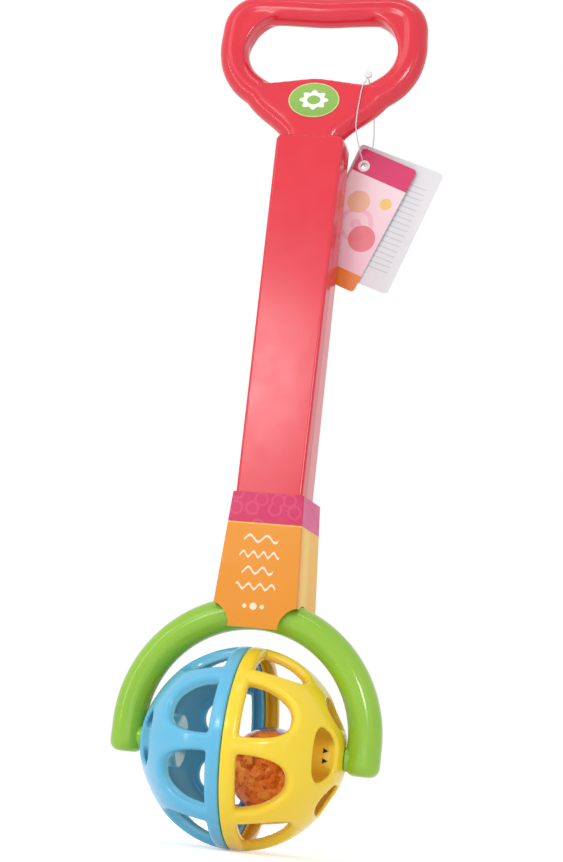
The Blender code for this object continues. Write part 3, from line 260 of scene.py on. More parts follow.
def feed(tree, value, socket):
    # a number, a point or a tone is set, an output is linked
    if isinstance(value, str):
        value = colour(value)
    if isinstance(value, (int, float, tuple)):
        socket.default_value = value
    else:
        tree.links.new(value, socket)


def tune(made, values):
    for key, value in values.items():
        made.inputs[key].default_value = value


def maths(tree, operation, *values):
    made = node(tree, "ShaderNodeMath", operation=operation)
    for slot, value in enumerate(values):
        feed(tree, value, made.inputs[slot])
    return made.outputs[0]


def times(tree, first, second):
    return maths(tree, "MULTIPLY", first, second)


def offFrom(tree, value, middle):
    return maths(tree, "ABSOLUTE", maths(tree, "SUBTRACT", value, middle))


def reachOf(tree, across, up):
    squares = [maths(tree, "POWER", value, 2) for value in (across, up)]
    return maths(tree, "SQRT", maths(tree, "ADD", *squares))


def highest(tree, values):
    top = values[0]
    for value in values[1:]:
        top = maths(tree, "MAXIMUM", top, value)
    return top


def objectPlace(tree):
    return node(tree, "ShaderNodeTexCoord").outputs["Object"]


def distanceTo(tree, place, point):
    made = node(tree, "ShaderNodeVectorMath", operation="DISTANCE")
    tree.links.new(place, made.inputs[0])
    made.inputs[1].default_value = point
    return made.outputs["Value"]


def splitUp(tree, vector):
    made = node(tree, "ShaderNodeSeparateXYZ")
    tree.links.new(vector, made.inputs[0])
    return made.outputs


def putTogether(tree, **parts):
    made = node(tree, "ShaderNodeCombineXYZ")
    for axis, value in parts.items():
        tree.links.new(value, made.inputs[axis.upper()])
    return made.outputs[0]


def blendColour(tree, factor, first, second, mode="MIX"):
    made = node(tree, "ShaderNodeMix", data_type="RGBA", blend_type=mode)
    for slot, value in ((0, factor), (6, first), (7, second)):
        feed(tree, value, made.inputs[slot])
    return made.outputs[2]


def layered(tree, tone, layers):
    # paints over a tone, each with its share
    for share, paint in layers:
        tone = blendColour(tree, share, tone, paint)
    return tone


def noise(tree, vector, scale, detail=3.0, rough=0.5):
    made = node(tree, "ShaderNodeTexNoise")
    tune(made, {"Scale": scale, "Detail": detail, "Roughness": rough})
    tree.links.new(vector, made.inputs["Vector"])
    return made.outputs["Fac"]


def band(tree, value, low, high, first=0.0, second=1.0, smooth=False):
    made = node(tree, "ShaderNodeMapRange", interpolation_type="SMOOTHSTEP" if smooth else "LINEAR")
    for slot, number in enumerate((value, low, high, first, second)):
        feed(tree, number, made.inputs[slot])
    return made.outputs[0]


def fade(tree, value, low, high, full=1.0):
    return band(tree, value, low, high, full, 0.0)


def addBump(tree, height, normal, strength, distance):
    # a height on the surface, for the normal of a shader or group
    bump = node(tree, "ShaderNodeBump")
    bump.inputs["Distance"].default_value = distance
    feed(tree, strength, bump.inputs["Strength"])
    tree.links.new(height, bump.inputs["Height"])
    tree.links.new(bump.outputs["Normal"], normal)


def colour(hexText):
    channels = []
    for start in (0, 2, 4):
        value = int(hexText[start:start + 2], 16) / 255
        channels.append(value / 12.92 if value <= 0.04045 else ((value + 0.055) / 1.055) ** 2.4)
    return (*channels, 1.0)


def makeMouldedGroup():
    # slight unevenness of tone and gloss, and the faint ripple of a polished mould
    group, start, end = newGroup("moulded surface", {
        "Colour": "Color", "Deep colour": "Color",
        "Gloss low": "Float", "Gloss high": "Float", "Ripple": "Float",
    })
    given = start.outputs
    place = objectPlace(group)
    tone = band(group, noise(group, place, scale=14, detail=2), 0.35, 0.7, second=0.55, smooth=True)
    fleck = band(group, noise(group, place, scale=420, detail=2), 0.62, 0.8, second=0.25)
    mixed = blendColour(group, maths(group, "ADD", tone, fleck), given["Colour"], given["Deep colour"])
    group.links.new(mixed, end.inputs["Colour"])
    scuff = noise(group, place, scale=60, detail=5, rough=0.65)
    gloss = band(group, scuff, 0.3, 0.75, given["Gloss low"], given["Gloss high"])
    group.links.new(gloss, end.inputs["Roughness"])
    fine = times(group, noise(group, place, scale=900, detail=2), 0.12)
    wave = maths(group, "ADD", noise(group, place, scale=95, detail=1), fine)
    addBump(group, wave, end.inputs["Normal"], given["Ripple"], distance=0.0006)
    return group


def makePaperGroup():
    # coated card: faint fibre and a soft uneven sheen
    group, start, end = newGroup("coated card", {"Colour": "Color", "Fibre": "Float"})
    place = objectPlace(group)
    fibre = noise(group, place, scale=1600, detail=3, rough=0.6)
    darker = blendColour(group, 0.09, start.outputs["Colour"], (0.45, 0.42, 0.4, 1), "MULTIPLY")
    mottled = blendColour(group, band(group, fibre, 0.4, 0.7), start.outputs["Colour"], darker)
    group.links.new(mottled, end.inputs["Colour"])
    sheen = band(group, noise(group, place, scale=45, detail=4), 0.3, 0.7, first=0.3, second=0.45)
    group.links.new(sheen, end.inputs["Roughness"])
    addBump(group, fibre, end.inputs["Normal"], start.outputs["Fibre"], distance=0.00015)
    return group


mouldedGroup = makeMouldedGroup()
paperGroup = makePaperGroup()


def newMaterial(name):
    material = bpy.data.materials.new(name)
    material.use_nodes = True
    tree = material.node_tree
    return material, tree, tree.nodes["Principled BSDF"]


def useGroup(tree, group, shader, values, paint=None):
    placed = node(tree, "ShaderNodeGroup", node_tree=group)
    tune(placed, values)
    if paint is not None:
        tree.links.new(paint, placed.inputs["Colour"])
    for output, socket in (("Colour", "Base Color"), ("Roughness", "Roughness"), ("Normal", "Normal")):
        tree.links.new(placed.outputs[output], shader.inputs[socket])
    return placed


plasticFinishes = {
    "redPlastic": ("E22D3F", "D82538", 0.16, 0.26, 0.05),
    "greenPlastic": ("98C93A", "8ABF2C", 0.14, 0.24, 0.05),
    "bluePlastic": ("66C0E6", "5AB6DE", 0.14, 0.24, 0.05),
    "yellowPlastic": ("FFDE36", "FED326", 0.16, 0.26, 0.05),
    "whitePlastic": ("EEEDEA", "DCDAD4", 0.25, 0.4, 0.06),
    "beadPlastic": ("F2F0EE", "D8D5D0", 0.2, 0.35, 0.05),
}
plasticShine = {"Specular IOR Level": 0.42, "Coat Weight": 0.08, "Coat Roughness": 0.08}
# painted light and shade on the cage's inner walls: each half's painted tone and its scatter radius, then
# where the painted tone fades in
paintedInnerToneAndScatter = {"yellowPlastic": ("FFBE38", (1.0, 0.7, 0.3)), "bluePlastic": ("86D6F2", (0.4, 0.8, 1.0))}
paintedInnerToneDepth = {"middle": (0, 0, 0.068), "walls": (0.0620, 0.0660), "share": 0.85}


def makePlastic(name):
    light, deep, low, high, ripple = plasticFinishes[name]
    material, tree, shader = newMaterial(name)
    placed = useGroup(tree, mouldedGroup, shader, {
        "Colour": colour(light), "Deep colour": colour(deep),
        "Gloss low": low, "Gloss high": high, "Ripple": ripple,
    })
    tune(shader, plasticShine)
    if name in paintedInnerToneAndScatter:
        # the cage lets light into its skin, and its inner walls get painted light and shade: a deeper orange
        # in the yellow half, a lighter blue in the blue half
        inside, radius = paintedInnerToneAndScatter[name]
        reach = distanceTo(tree, objectPlace(tree), paintedInnerToneDepth["middle"])
        share = band(tree, reach, *paintedInnerToneDepth["walls"], paintedInnerToneDepth["share"], 0.0, True)
        tone = blendColour(tree, share, placed.outputs["Colour"], inside)
        tree.links.new(tone, shader.inputs["Base Color"])
        tune(shader, {"Subsurface Weight": 0.15, "Subsurface Radius": radius, "Subsurface Scale": 0.003})
    return material


def makeMetal(name, light, dark, rough):
    material, tree, shader = newMaterial(name)
    grain = noise(tree, objectPlace(tree), scale=700, detail=4, rough=0.7)
    tree.links.new(blendColour(tree, grain, light, dark), shader.inputs["Base Color"])
    tree.links.new(band(tree, grain, 0.3, 0.7, rough, rough + 0.18), shader.inputs["Roughness"])
    addBump(tree, grain, shader.inputs["Normal"], strength=0.15, distance=0.0002)
    shader.inputs["Metallic"].default_value = 1.0
    return material


def makeClear(name, tones, crinkle, through, scale, paintedGlow):
    # see-through plastic with a crumpled inner face: facets of uneven tone
    light, middle, deep = tones
    material, tree, shader = newMaterial(name)
    place = objectPlace(tree)
    warp = node(tree, "ShaderNodeTexNoise")
    warp.inputs["Scale"].default_value = 150
    tree.links.new(place, warp.inputs["Vector"])
    warped = node(tree, "ShaderNodeVectorMath", operation="MULTIPLY_ADD")
    for slot, value in enumerate((warp.outputs["Color"], (0.008, 0.008, 0.008), place)):
        feed(tree, value, warped.inputs[slot])
    cells = node(tree, "ShaderNodeTexVoronoi", feature="F1")
    cells.inputs["Scale"].default_value = scale
    tree.links.new(warped.outputs[0], cells.inputs["Vector"])
    facet = times(tree, splitUp(tree, cells.outputs["Color"])[0], 0.55)
    blotch = band(tree, noise(tree, warped.outputs[0], scale * 0.7, detail=5, rough=0.7), 0.38, 0.62)
    tone = maths(tree, "ADD", facet, times(tree, blotch, 0.45))
    lower = blendColour(tree, band(tree, tone, 0.15, 0.5), deep, middle)
    tint = blendColour(tree, band(tree, tone, 0.55, 0.85), lower, light)
    for socket in ("Base Color", "Emission Color"):
        tree.links.new(tint, shader.inputs[socket])
    addBump(tree, tone, shader.inputs["Normal"], crinkle, distance=0.0006)
    gloss = band(tree, noise(tree, place, scale=90), 0.3, 0.7, first=0.06, second=0.16)
    tree.links.new(gloss, shader.inputs["Roughness"])
    # a painted glow: emission stands in for daylight from behind, held in the plastic
    tune(shader, {"Emission Strength": paintedGlow, "Transmission Weight": through, "IOR": 1.2})
    return material


redPlastic, greenPlastic, bluePlastic, yellowPlastic, whitePlastic, beadPlastic = [
    makePlastic(name) for name in plasticFinishes
]
steelFinish = makeMetal("steelFinish", "C9CBCF", "9DA0A6", 0.22)
brassFinish = makeMetal("brassFinish", "D9B25A", "B98D38", 0.2)
# the orange half carries a faint painted glow, the lilac half none
orangeClear = makeClear(
    "orangeClear", ("FFAE52", "F98330", "BE4E16"), crinkle=0.6, through=0.2, scale=220, paintedGlow=0.1,
)
lilacClear = makeClear(
    "lilacClear", ("F6F0FC", "E6DDF4", "D3C6EA"), crinkle=0.1, through=0.88, scale=60, paintedGlow=0.0,
)
print("materials made")


# tag line

lineSizes = {
    "radius": 0.0004,
    "steps": 5,
    "route": (
        (0.0351, -0.0025, 0.5481), (0.0349, -0.0036, 0.5460), (0.0348, -0.0062, 0.5436),
        (0.0346, -0.0094, 0.5412), (0.0341, -0.0117, 0.5370), (0.0334, -0.0120, 0.5300),
        (0.0328, -0.0120, 0.5220), (0.0324, -0.0115, 0.5145), (0.0323, -0.0090, 0.5080),
        (0.0330, -0.0020, 0.5018), (0.0338, 0.0070, 0.4973), (0.0344, 0.0160, 0.4940),
        (0.0349, 0.0240, 0.4929), (0.0356, 0.0281, 0.4938), (0.0372, 0.0292, 0.4985),
        (0.0388, 0.0276, 0.5058), (0.0398, 0.0232, 0.5142), (0.0400, 0.0172, 0.5230),
        (0.0395, 0.0127, 0.5312), (0.0386, 0.0116, 0.5368), (0.0379, 0.0098, 0.5412),
        (0.0372, 0.0062, 0.5438), (0.0367, 0.0022, 0.5455), (0.0365, -0.0010, 0.5466),
        (0.0364, -0.0025, 0.5481),
    ),
}


def finePath(points, steps):
    # a smooth curve through all the points
    path = []
    last = len(points) - 1
    for span in range(last):
        near = [Vector(points[min(max(span + shift, 0), last)]) for shift in (-1, 0, 1, 2)]
        before, start, end, after = near
        for step in range(steps):
            t = step / steps
            path.append((start * 2 + (end - before) * t + (before * 2 - start * 5 + end * 4 - after) * t**2
                         + (start * 3 - before - end * 3 + after) * t**3) / 2)
    path.append(Vector(points[-1]))
    return path


def makeNylon():
    material, tree, shader = newMaterial("clearNylon")
    haze = noise(tree, objectPlace(tree), scale=500)
    tree.links.new(blendColour(tree, haze, "F4F6F8", "DDE2E8"), shader.inputs["Base Color"])
    tree.links.new(band(tree, haze, 0.3, 0.7, first=0.2, second=0.38), shader.inputs["Roughness"])
    shader.inputs["Transmission Weight"].default_value = 0.25
    return material


def makeLine(material):
    path = finePath(lineSizes["route"], lineSizes["steps"])
    curve = bpy.data.curves.new("tagLine", "CURVE")
    curve.dimensions = "3D"
    curve.bevel_depth = lineSizes["radius"]
    curve.bevel_resolution = 3
    curve.use_fill_caps = True
    spline = curve.splines.new("POLY")
    spline.points.add(len(path) - 1)
    for index, place in enumerate(path):
        spline.points[index].co = (*place, 1.0)
    line = bpy.data.objects.new("tagLine", curve)
    bpy.context.scene.collection.objects.link(line)
    curve.materials.append(material)
    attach(line, "handle")
    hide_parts("tag_loop")
    length = sum((after - before).length for before, after in zip(path, path[1:]))
    return line, length


clearNylon = makeNylon()
tagLine, lineLength = makeLine(clearNylon)
print("tag line made")


# grip: ring and web in one flow, the shaft joined below, split into two shells

gripSizes = {
    "barRadius": 0.0106,
    "halfWidth": 0.0652,
    "bottomZ": 0.5329,
    "height": 0.0675,
    "ring": ((0.00, 0.978), (0.30, 0.992), (0.58, 1.000), (0.83, 0.984), (0.958, 0.886), (1.00, 0.680),
             (0.99, 0.435), (0.90, 0.235), (0.74, 0.090), (0.54, 0.000), (0.28, 0.005), (0.00, 0.055)),
    "hole": ((0.000, 0.5925), (0.018, 0.5934), (0.034, 0.5932), (0.0455, 0.5885), (0.0535, 0.5775),
             (0.0560, 0.5680), (0.0552, 0.5575), (0.0515, 0.5490), (0.0445, 0.5430), (0.036, 0.5406),
             (0.022, 0.5420), (0.000, 0.5440)),
    "webEdge": ((0.0440, 0.5365), (0.0404, 0.5316), (0.0330, 0.5250), (0.0254, 0.5194),
                (0.0182, 0.5132), (0.0132, 0.5071), (0.0108, 0.5000), (0.0108, 0.4870)),
    "webTop": ((0.000, 0.5443), (0.009, 0.5436), (0.018, 0.5424), (0.027, 0.5412), (0.036, 0.5400)),
    "webHalfDepth": 0.0106,
    "wallHalfDepth": 0.0094,
    "voxel": 0.0008,
    "smoothing": 30,
    "seam": 0.00018,
    "sharpDegrees": 60,
}
shaftSizes = {
    "lowZ": 0.1707,
    "topZ": 0.5015,
    "halfWidth": (0.0236, 0.0249),
    "frontDepth": (0.0122, 0.0112),
    "rearDepth": (0.0300, 0.0160),
    "frontDraft": 0.0007,
    "rearDraft": 0.0002,
    "edge": 0.0022,
    "topCorner": 0.0046,
    "rounding": 6,
    "wall": 0.0022,
    "pocketTop": 0.2400,
    "pocketPast": 0.005,
}
screwSizes = {
    "headHole": 0.0031,
    "pastY": 0.05,
    "seat": 0.0026,
    "shell": ((-0.0652, 0.5700), (0.0652, 0.5700), (0.0, 0.5200), (0.0, 0.4552), (0.0, 0.3659),
              (0.0, 0.2749)),
    "stem": (0.0096, 0.2120),
    "forkDegrees": (-64, -30, 30, 64),
}


def outlineCurve(outlines, name, flat, closed=True):
    # smooth curves in X and Z; in a flat one, those after the first are holes
    piece = fresh(bpy.ops.curve.primitive_bezier_circle_add, radius=0.01)
    curve = piece.data
    curve.splines.clear()
    for points in outlines:
        spline = curve.splines.new("BEZIER")
        spline.bezier_points.add(len(points) - 1)
        for knot, (x, z) in zip(spline.bezier_points, points):
            knot.co = (x, z, 0.0)
            knot.handle_left_type = knot.handle_right_type = "AUTO"
        spline.use_cyclic_u = closed
    curve.dimensions = "2D" if flat else "3D"
    curve.resolution_u = 8
    piece.rotation_euler = (math.radians(90), 0, 0)
    piece.name = name
    return piece


def toMesh(piece):
    take(piece)
    bpy.ops.object.convert(target="MESH")
    settle(piece)
    weld(piece)
    return piece


def roundBar(points, name, radius, closed):
    bar = outlineCurve([points], name, False, closed)
    bar.data.bevel_depth = radius
    bar.data.bevel_resolution = 12
    bar.data.use_fill_caps = not closed
    return toMesh(bar)


def flatSheet(outlines, name, halfDepth):
    sheet = outlineCurve(outlines, name, True)
    sheet.data.fill_mode = "BOTH"
    sheet.data.extrude = halfDepth
    return toMesh(sheet)


def bothSides(points):
    return list(points) + [(-x, z) for x, z in reversed(points) if x > 0]


def makeRingAndWeb():
    size = gripSizes
    wide, high, low = size["halfWidth"], size["height"], size["bottomZ"]
    ring = bothSides([(x * wide, low + z * high) for x, z in size["ring"]])
    bar = roundBar(ring, "gripBar", size["barRadius"], True)
    # the web: a rounded edge down each side and a flat plate between them
    edges = []
    for side in (-1, 1):
        points = [(side * x, z) for x, z in size["webEdge"]]
        edges.append(roundBar(points, "webEdge", size["webHalfDepth"], False))
    plate = flatSheet([bothSides(size["webTop"] + size["webEdge"])], "webPlate", size["webHalfDepth"])
    # the bar is squarer towards the hole than outside
    wall = flatSheet([ring, bothSides(size["hole"])], "gripWall", size["wallHalfDepth"])
    grip = joined([bar, plate, wall] + edges)
    smoothOver(grip, size)
    return grip


def shaftSpans(z):
    # half width and the two depths of the shaft at a height
    share = (z - shaftSizes["lowZ"]) / (shaftSizes["topZ"] - shaftSizes["lowZ"])
    spans = [shaftSizes[key] for key in ("halfWidth", "frontDepth", "rearDepth")]
    return [low + (high - low) * share for low, high in spans]


def shaftBlock(name, inset, lowZ, topZ):
    block = fresh(bpy.ops.mesh.primitive_cube_add, size=2)
    block.name = name
    editAll(block)
    bpy.ops.mesh.bisect(plane_co=(0, 0, 0), plane_no=(0, 1, 0))
    leaveEdit()
    for point in block.data.vertices:
        z = topZ if point.co.z > 0 else lowZ
        wide, front, rear = shaftSpans(z)
        if point.co.y < -0.5:
            y, wide = inset - front, wide - shaftSizes["frontDraft"]
        elif point.co.y > 0.5:
            y, wide = rear - inset, wide - shaftSizes["rearDraft"]
        else:
            y = 0.0
        point.co = (math.copysign(wide - inset, point.co.x), y, z)
    return block


def makeShaft():
    topZ, lowZ = shaftSizes["topZ"], shaftSizes["lowZ"]
    shaft = shaftBlock("shaft", 0.0, lowZ, topZ)

    def topCorner(a, b):
        return min(a.z, b.z) > topZ - 0.001 and abs(a.x - b.x) < 0.002

    def outerEdge(a, b):
        bottom = a.z < lowZ + 0.001 and b.z < lowZ + 0.001
        return not bottom and a.y * b.y > 0.00001

    roundEdges(shaft, topCorner, shaftSizes["topCorner"], shaftSizes["rounding"])
    roundEdges(shaft, outerEdge, shaftSizes["edge"], shaftSizes["rounding"])
    weld(shaft)
    return shaft


def screwHoles(places, seats):
    past, radius = screwSizes["pastY"], screwSizes["headHole"]
    return joined([rod((x, seat, z), (x, past, z), radius) for (x, z), seat in zip(places, seats)])


def splitShells(front, rearName):
    # front and rear shell, with a fine seam between them
    rear = copyOf(front, rearName)
    sliceOff(front, (0, -gripSizes["seam"], 0), (0, 1, 0))
    sliceOff(rear, (0, gripSizes["seam"], 0), (0, -1, 0))
    return rear


def makeHandle():
    grip = makeRingAndWeb()
    cutWith(grip, makeShaft(), "UNION")
    pocketLow = shaftSizes["lowZ"] - shaftSizes["pocketPast"]
    cutWith(grip, shaftBlock("pocket", shaftSizes["wall"], pocketLow, shaftSizes["pocketTop"]))
    rear = splitShells(grip, "gripRear")
    stemSeat, stemZ = screwSizes["stem"]
    seats = [screwSizes["seat"]] * len(screwSizes["shell"]) + [stemSeat]
    cutWith(rear, screwHoles(list(screwSizes["shell"]) + [(0.0, stemZ)], seats))
    for piece in (grip, rear):
        softShade(piece, gripSizes["sharpDegrees"], True)
    finishPiece(grip, "gripFront", "handle", redPlastic, "handle_front_shell")
    finishPiece(rear, "gripRear", "handle", redPlastic, "handle_rear_shell")


makeHandle()
print("grip and shaft made")


# fork: half an arch, mirrored, with its stem, split into two shells

forkSizes = {
    "radius": 0.0816,
    "centreZ": 0.0776,
    "halfWidth": 0.0115,
    "halfDepth": 0.0126,
    "endZ": 0.0571,
    "endRound": 0.0070,
    "endShare": 0.42,
    "endSteps": 9,
    "stem": (0.0155, 0.0075, 0.2360),
    "stemEdge": 0.002,
    "boss": (0.0086, 0.0700),
    "socket": (0.0075, 0.060, 0.0842),
    "ballZ": 0.068,
}


def archRing(growth, steps):
    # the fork's tube as a whole ring, deeper than it is wide
    size = forkSizes
    halfWidth, halfDepth = size["halfWidth"] + growth, size["halfDepth"] + growth
    ring = settle(fresh(
        bpy.ops.mesh.primitive_torus_add, major_segments=steps, minor_segments=48,
        major_radius=size["radius"], minor_radius=halfWidth,
        location=(0, 0, size["centreZ"]), rotation=(math.radians(90), 0, 0),
    ))
    ring.scale = (1, halfDepth / halfWidth, 1)
    return settle(ring)


def makeArch():
    size = forkSizes
    arch = archRing(0.0, 144)
    sliceOff(arch, (0, 0, size["centreZ"]), (0, 0, -1), fill=False)
    sliceOff(arch, (0, 0, 0), (-1, 0, 0), fill=False)
    low = size["centreZ"] + 0.00001
    pickEdges(arch, lambda a, b: a.z < low and b.z < low)
    bend = size["endZ"] + size["endRound"]
    bpy.ops.mesh.extrude_edges_move(TRANSFORM_OT_translate={"value": (0, 0, bend - size["centreZ"])})
    share, z = 1.0, bend
    for step in range(1, size["endSteps"] + 1):
        turn = math.pi / 2 * step / size["endSteps"]
        newShare = size["endShare"] + (1 - size["endShare"]) * math.cos(turn)
        newZ = bend - size["endRound"] * math.sin(turn)
        bpy.ops.mesh.extrude_edges_move(TRANSFORM_OT_translate={"value": (0, 0, newZ - z)})
        ratio = newShare / share
        bpy.ops.transform.resize(value=(ratio, ratio, 1), center_override=(size["radius"], 0, newZ))
        share, z = newShare, newZ
    bpy.ops.mesh.edge_face_add()
    leaveEdit()
    applyMod(arch, "MIRROR", use_axis=(True, False, False), merge_threshold=0.00002)
    weld(arch)
    return arch


def makeStem():
    halfWidth, halfDepth, topZ = forkSizes["stem"]
    lowZ = forkSizes["centreZ"] + forkSizes["radius"]
    stem = addBox((2 * halfWidth, 2 * halfDepth, topZ - lowZ), (0, 0, (lowZ + topZ) / 2))
    roundEdges(stem, lambda a, b: abs(a.z - b.z) > 0.01, forkSizes["stemEdge"], 5)
    return stem


def makeFork():
    size = forkSizes
    arch = makeArch()
    cutWith(arch, makeStem(), "UNION")
    bossRadius, bossX = size["boss"]
    socketRadius, socketIn, socketOut = size["socket"]

    def axleRod(side, fromX, toX, radius):
        return rod((side * fromX, 0, size["ballZ"]), (side * toX, 0, size["ballZ"]), radius, 48)

    for side in (-1, 1):
        cutWith(arch, axleRod(side, bossX, size["radius"], bossRadius), "UNION")
        cutWith(arch, axleRod(side, socketIn, socketOut, socketRadius))
    rear = splitShells(arch, "forkRear")
    places = []
    for turn in [math.radians(degrees) for degrees in screwSizes["forkDegrees"]]:
        places.append((size["radius"] * math.sin(turn), size["centreZ"] + size["radius"] * math.cos(turn)))
    cutWith(rear, screwHoles(places, [screwSizes["seat"]] * len(places)))
    for piece in (arch, rear):
        softShade(piece, 40)
    finishPiece(arch, "forkFront", "handle", greenPlastic, "fork_front_shell")
    finishPiece(rear, "forkRear", "handle", greenPlastic, "fork_rear_shell")


makeFork()
print("fork made")


# cage ball: a turned half with cup and rim, collars and windows, smoothed over, slots in its cup

cageSizes = {
    "radius": 0.068,
    "skin": 0.0026,
    "collarInner": 0.0605,
    "collarWall": 0.0021,
    "collarInset": 0.0004,
    "collarDrop": 0.001,
    "rimWall": 0.0026,
    "hubX": 0.0674,
    "cap": 0.0032,
    "cup": (0.0183, 0.0020, 0.0435, 0.0025),
    "bore": 0.0075,
    "screwBore": 0.0023,
    "seam": 0.00015,
    "side": {"count": 8, "shift": 0.5, "low": 9.0, "high": 39.5, "half": 17.2, "roundness": 0.80},
    "hub": {"count": 4, "shift": 0.0, "middle": 64.2, "high": 10.0, "half": 33.0, "roundness": 0.72},
    "mouth": {"side": 0.0042, "hub": 0.0018},
    "toolInner": {"side": 0.0565, "hub": 0.0632},
    "toolPast": 0.009,
    "drawn": (0.0500, 0.0022),
    "slot": {"height": 0.0580, "turn": 10.5, "radius": 0.0023, "reach": (0.0140, 0.0205)},
    "voxel": 0.00085,
    "smoothing": 8,
}


def turnedShape(name, profile, steps):
    # a closed profile of (radius, height) turned round Z
    piece = fresh(bpy.ops.mesh.primitive_circle_add, vertices=len(profile), radius=1)
    piece.name = name
    for point, (radius, height) in zip(piece.data.vertices, profile):
        point.co = (radius, 0, height)
    applyMod(
        piece, "SCREW", axis="Z", steps=steps, render_steps=steps,
        use_merge_vertices=True, merge_threshold=0.00001,
    )
    weld(piece)
    return piece


def arcPoints(radius, startDeg, endDeg, steps):
    turns = [math.radians(startDeg + (endDeg - startDeg) * step / steps) for step in range(steps + 1)]
    return [(radius * math.cos(turn), radius * math.sin(turn)) for turn in turns]


def cageHalfProfile():
    size = cageSizes
    cup, cupWall, cupFace, faceThick = size["cup"]
    radius, inner, hubZ = size["radius"], size["radius"] - size["skin"], size["hubX"]
    seam, rimTop = size["seam"], size["seam"] + size["rimWall"]
    cupBack, capZ = cupFace + faceThick, hubZ - size["cap"]
    outside = [math.degrees(math.asin(height / radius)) for height in (hubZ, seam)]
    inside = [math.degrees(math.asin(rimTop / inner)), math.degrees(math.acos(cup / inner))]
    return [
        (size["bore"], hubZ), *arcPoints(radius, *outside, 40),
        (size["collarInner"], seam), (size["collarInner"], rimTop), *arcPoints(inner, *inside, 34),
        (cup, cupFace), (size["screwBore"], cupFace), (size["screwBore"], cupBack),
        (cup - cupWall, cupBack), (cup - cupWall, capZ), (size["bore"], capZ),
    ]


def windowEdge(kind, turn, grow):
    # latitude and longitude of the window's edge, with grow in metres outside it
    shape = cageSizes[kind]
    growDeg = math.degrees(grow / cageSizes["radius"])
    parts = (math.cos(turn), math.sin(turn))
    across, up = [math.copysign(abs(part) ** shape["roundness"], part) for part in parts]
    if kind == "side":  # with a straight foot beside the seam
        low, high = shape["low"] - growDeg, shape["high"] + growDeg
        half = shape["half"] + growDeg / math.cos(math.radians(shape["low"]))
        return low + (high - low) * max(up, 0.0), half * across
    high = shape["high"] + growDeg
    half = shape["half"] + growDeg / math.cos(math.radians(shape["middle"]))
    return shape["middle"] + high * up, half * across


def towards(latitude, longitude):
    lat, lon = math.radians(latitude), math.radians(longitude)
    return Vector((math.cos(lat) * math.sin(lon), -math.cos(lat) * math.cos(lon), math.sin(lat)))


def ontoBall(point, kind, middle, grow, radius):
    # a point of a flat ring goes to the window's edge
    lat, lon = windowEdge(kind, math.atan2(point.co.y, point.co.x), grow)
    point.co = towards(lat, lon + middle) * radius


def windowMiddles(kind):
    count, shift = cageSizes[kind]["count"], cageSizes[kind]["shift"]
    return [360 * (number + shift) / count for number in range(count)]


def windowTool(kind, middle):
    # a plug whose mouth flares in a quarter round where it leaves the ball
    radius, mouth = cageSizes["radius"], cageSizes["mouth"][kind]
    levels = [(cageSizes["toolInner"][kind], 0.0), (radius - mouth, 0.0)]
    for step in range(1, 7):
        turn = math.pi / 2 * step / 6.5
        levels.append((radius - mouth * (1 - math.sin(turn)), mouth * (1 - math.cos(turn))))
    levels.append((radius + cageSizes["toolPast"], mouth * 1.25))
    tool = fresh(bpy.ops.mesh.primitive_circle_add, vertices=72, radius=1, fill_type="NGON")
    editAll(tool)
    for _ in levels[1:]:
        bpy.ops.mesh.extrude_region_move(TRANSFORM_OT_translate={"value": (0, 0, 1)})
    leaveEdit()
    for point in tool.data.vertices:
        level, grow = levels[round(point.co.z)]
        ontoBall(point, kind, middle, grow, level)
    weld(tool)
    return tool


def windowCollar(middle):
    # a square ring round a side window, its section's four corners moved to a slanted square
    collar = fresh(
        bpy.ops.mesh.primitive_torus_add, major_segments=72, minor_segments=4,
        major_radius=1.0, minor_radius=0.2,
    )
    wall, inset = cageSizes["collarWall"], -cageSizes["collarInset"]
    inner, outer = cageSizes["collarInner"], cageSizes["radius"] - cageSizes["collarDrop"]
    for point in collar.data.vertices:
        reach = math.hypot(point.co.x, point.co.y)
        if reach > 1.1:
            grow, radius = wall, inner
        elif reach < 0.9:
            grow, radius = inset, outer
        elif point.co.z > 0:
            grow, radius = wall, outer
        else:
            grow, radius = inset, inner
        ontoBall(point, "side", middle, grow, radius)
    weld(collar)
    return collar


def makeCageHalf():
    size, slot = cageSizes, cageSizes["slot"]
    half = turnedShape("cageHalf", cageHalfProfile(), 144)
    cutWith(half, joined([windowCollar(middle) for middle in windowMiddles("side")]), "UNION")
    tools = [windowTool(kind, middle) for kind in ("side", "hub") for middle in windowMiddles(kind)]
    cutWith(half, joined(tools))
    weld(half)
    smoothOver(half, size)
    slots = []
    rise = Vector((0, 0, slot["height"]))
    for middle in windowMiddles("hub"):
        for side in (-1, 1):
            away = towards(0, middle + side * slot["turn"])
            slots.append(rod(*[away * reach + rise for reach in slot["reach"]], slot["radius"], 3))
    cutWith(half, joined(slots))
    # the hub is drawn out a little
    start, reach = size["drawn"]
    for point in half.data.vertices:
        if point.co.z > start:
            point.co.z += reach * ((point.co.z - start) / (size["hubX"] - start)) ** 2
    return half


def makeCage():
    blue = makeCageHalf()
    yellow = copyOf(blue, "cageYellow")
    for half, side in ((blue, -1), (yellow, 1)):
        turnTo(half, (0, 0, cageSizes["radius"]), 90 * side)
        softShade(half, 50)
    finishPiece(blue, "cageBlue", "cage_ball", bluePlastic, "blue_cage_half")
    finishPiece(yellow, "cageYellow", "cage_ball", yellowPlastic, "yellow_cage_half")


makeCage()
print("cage ball made")


# chime ball

chimeSizes = {
    "radius": 0.029,
    "wall": 0.0018,
    "centre": (0.0145, 0.02480, 0.05558),
    "tilt": 118.0,
    "band": 0.0022,
}


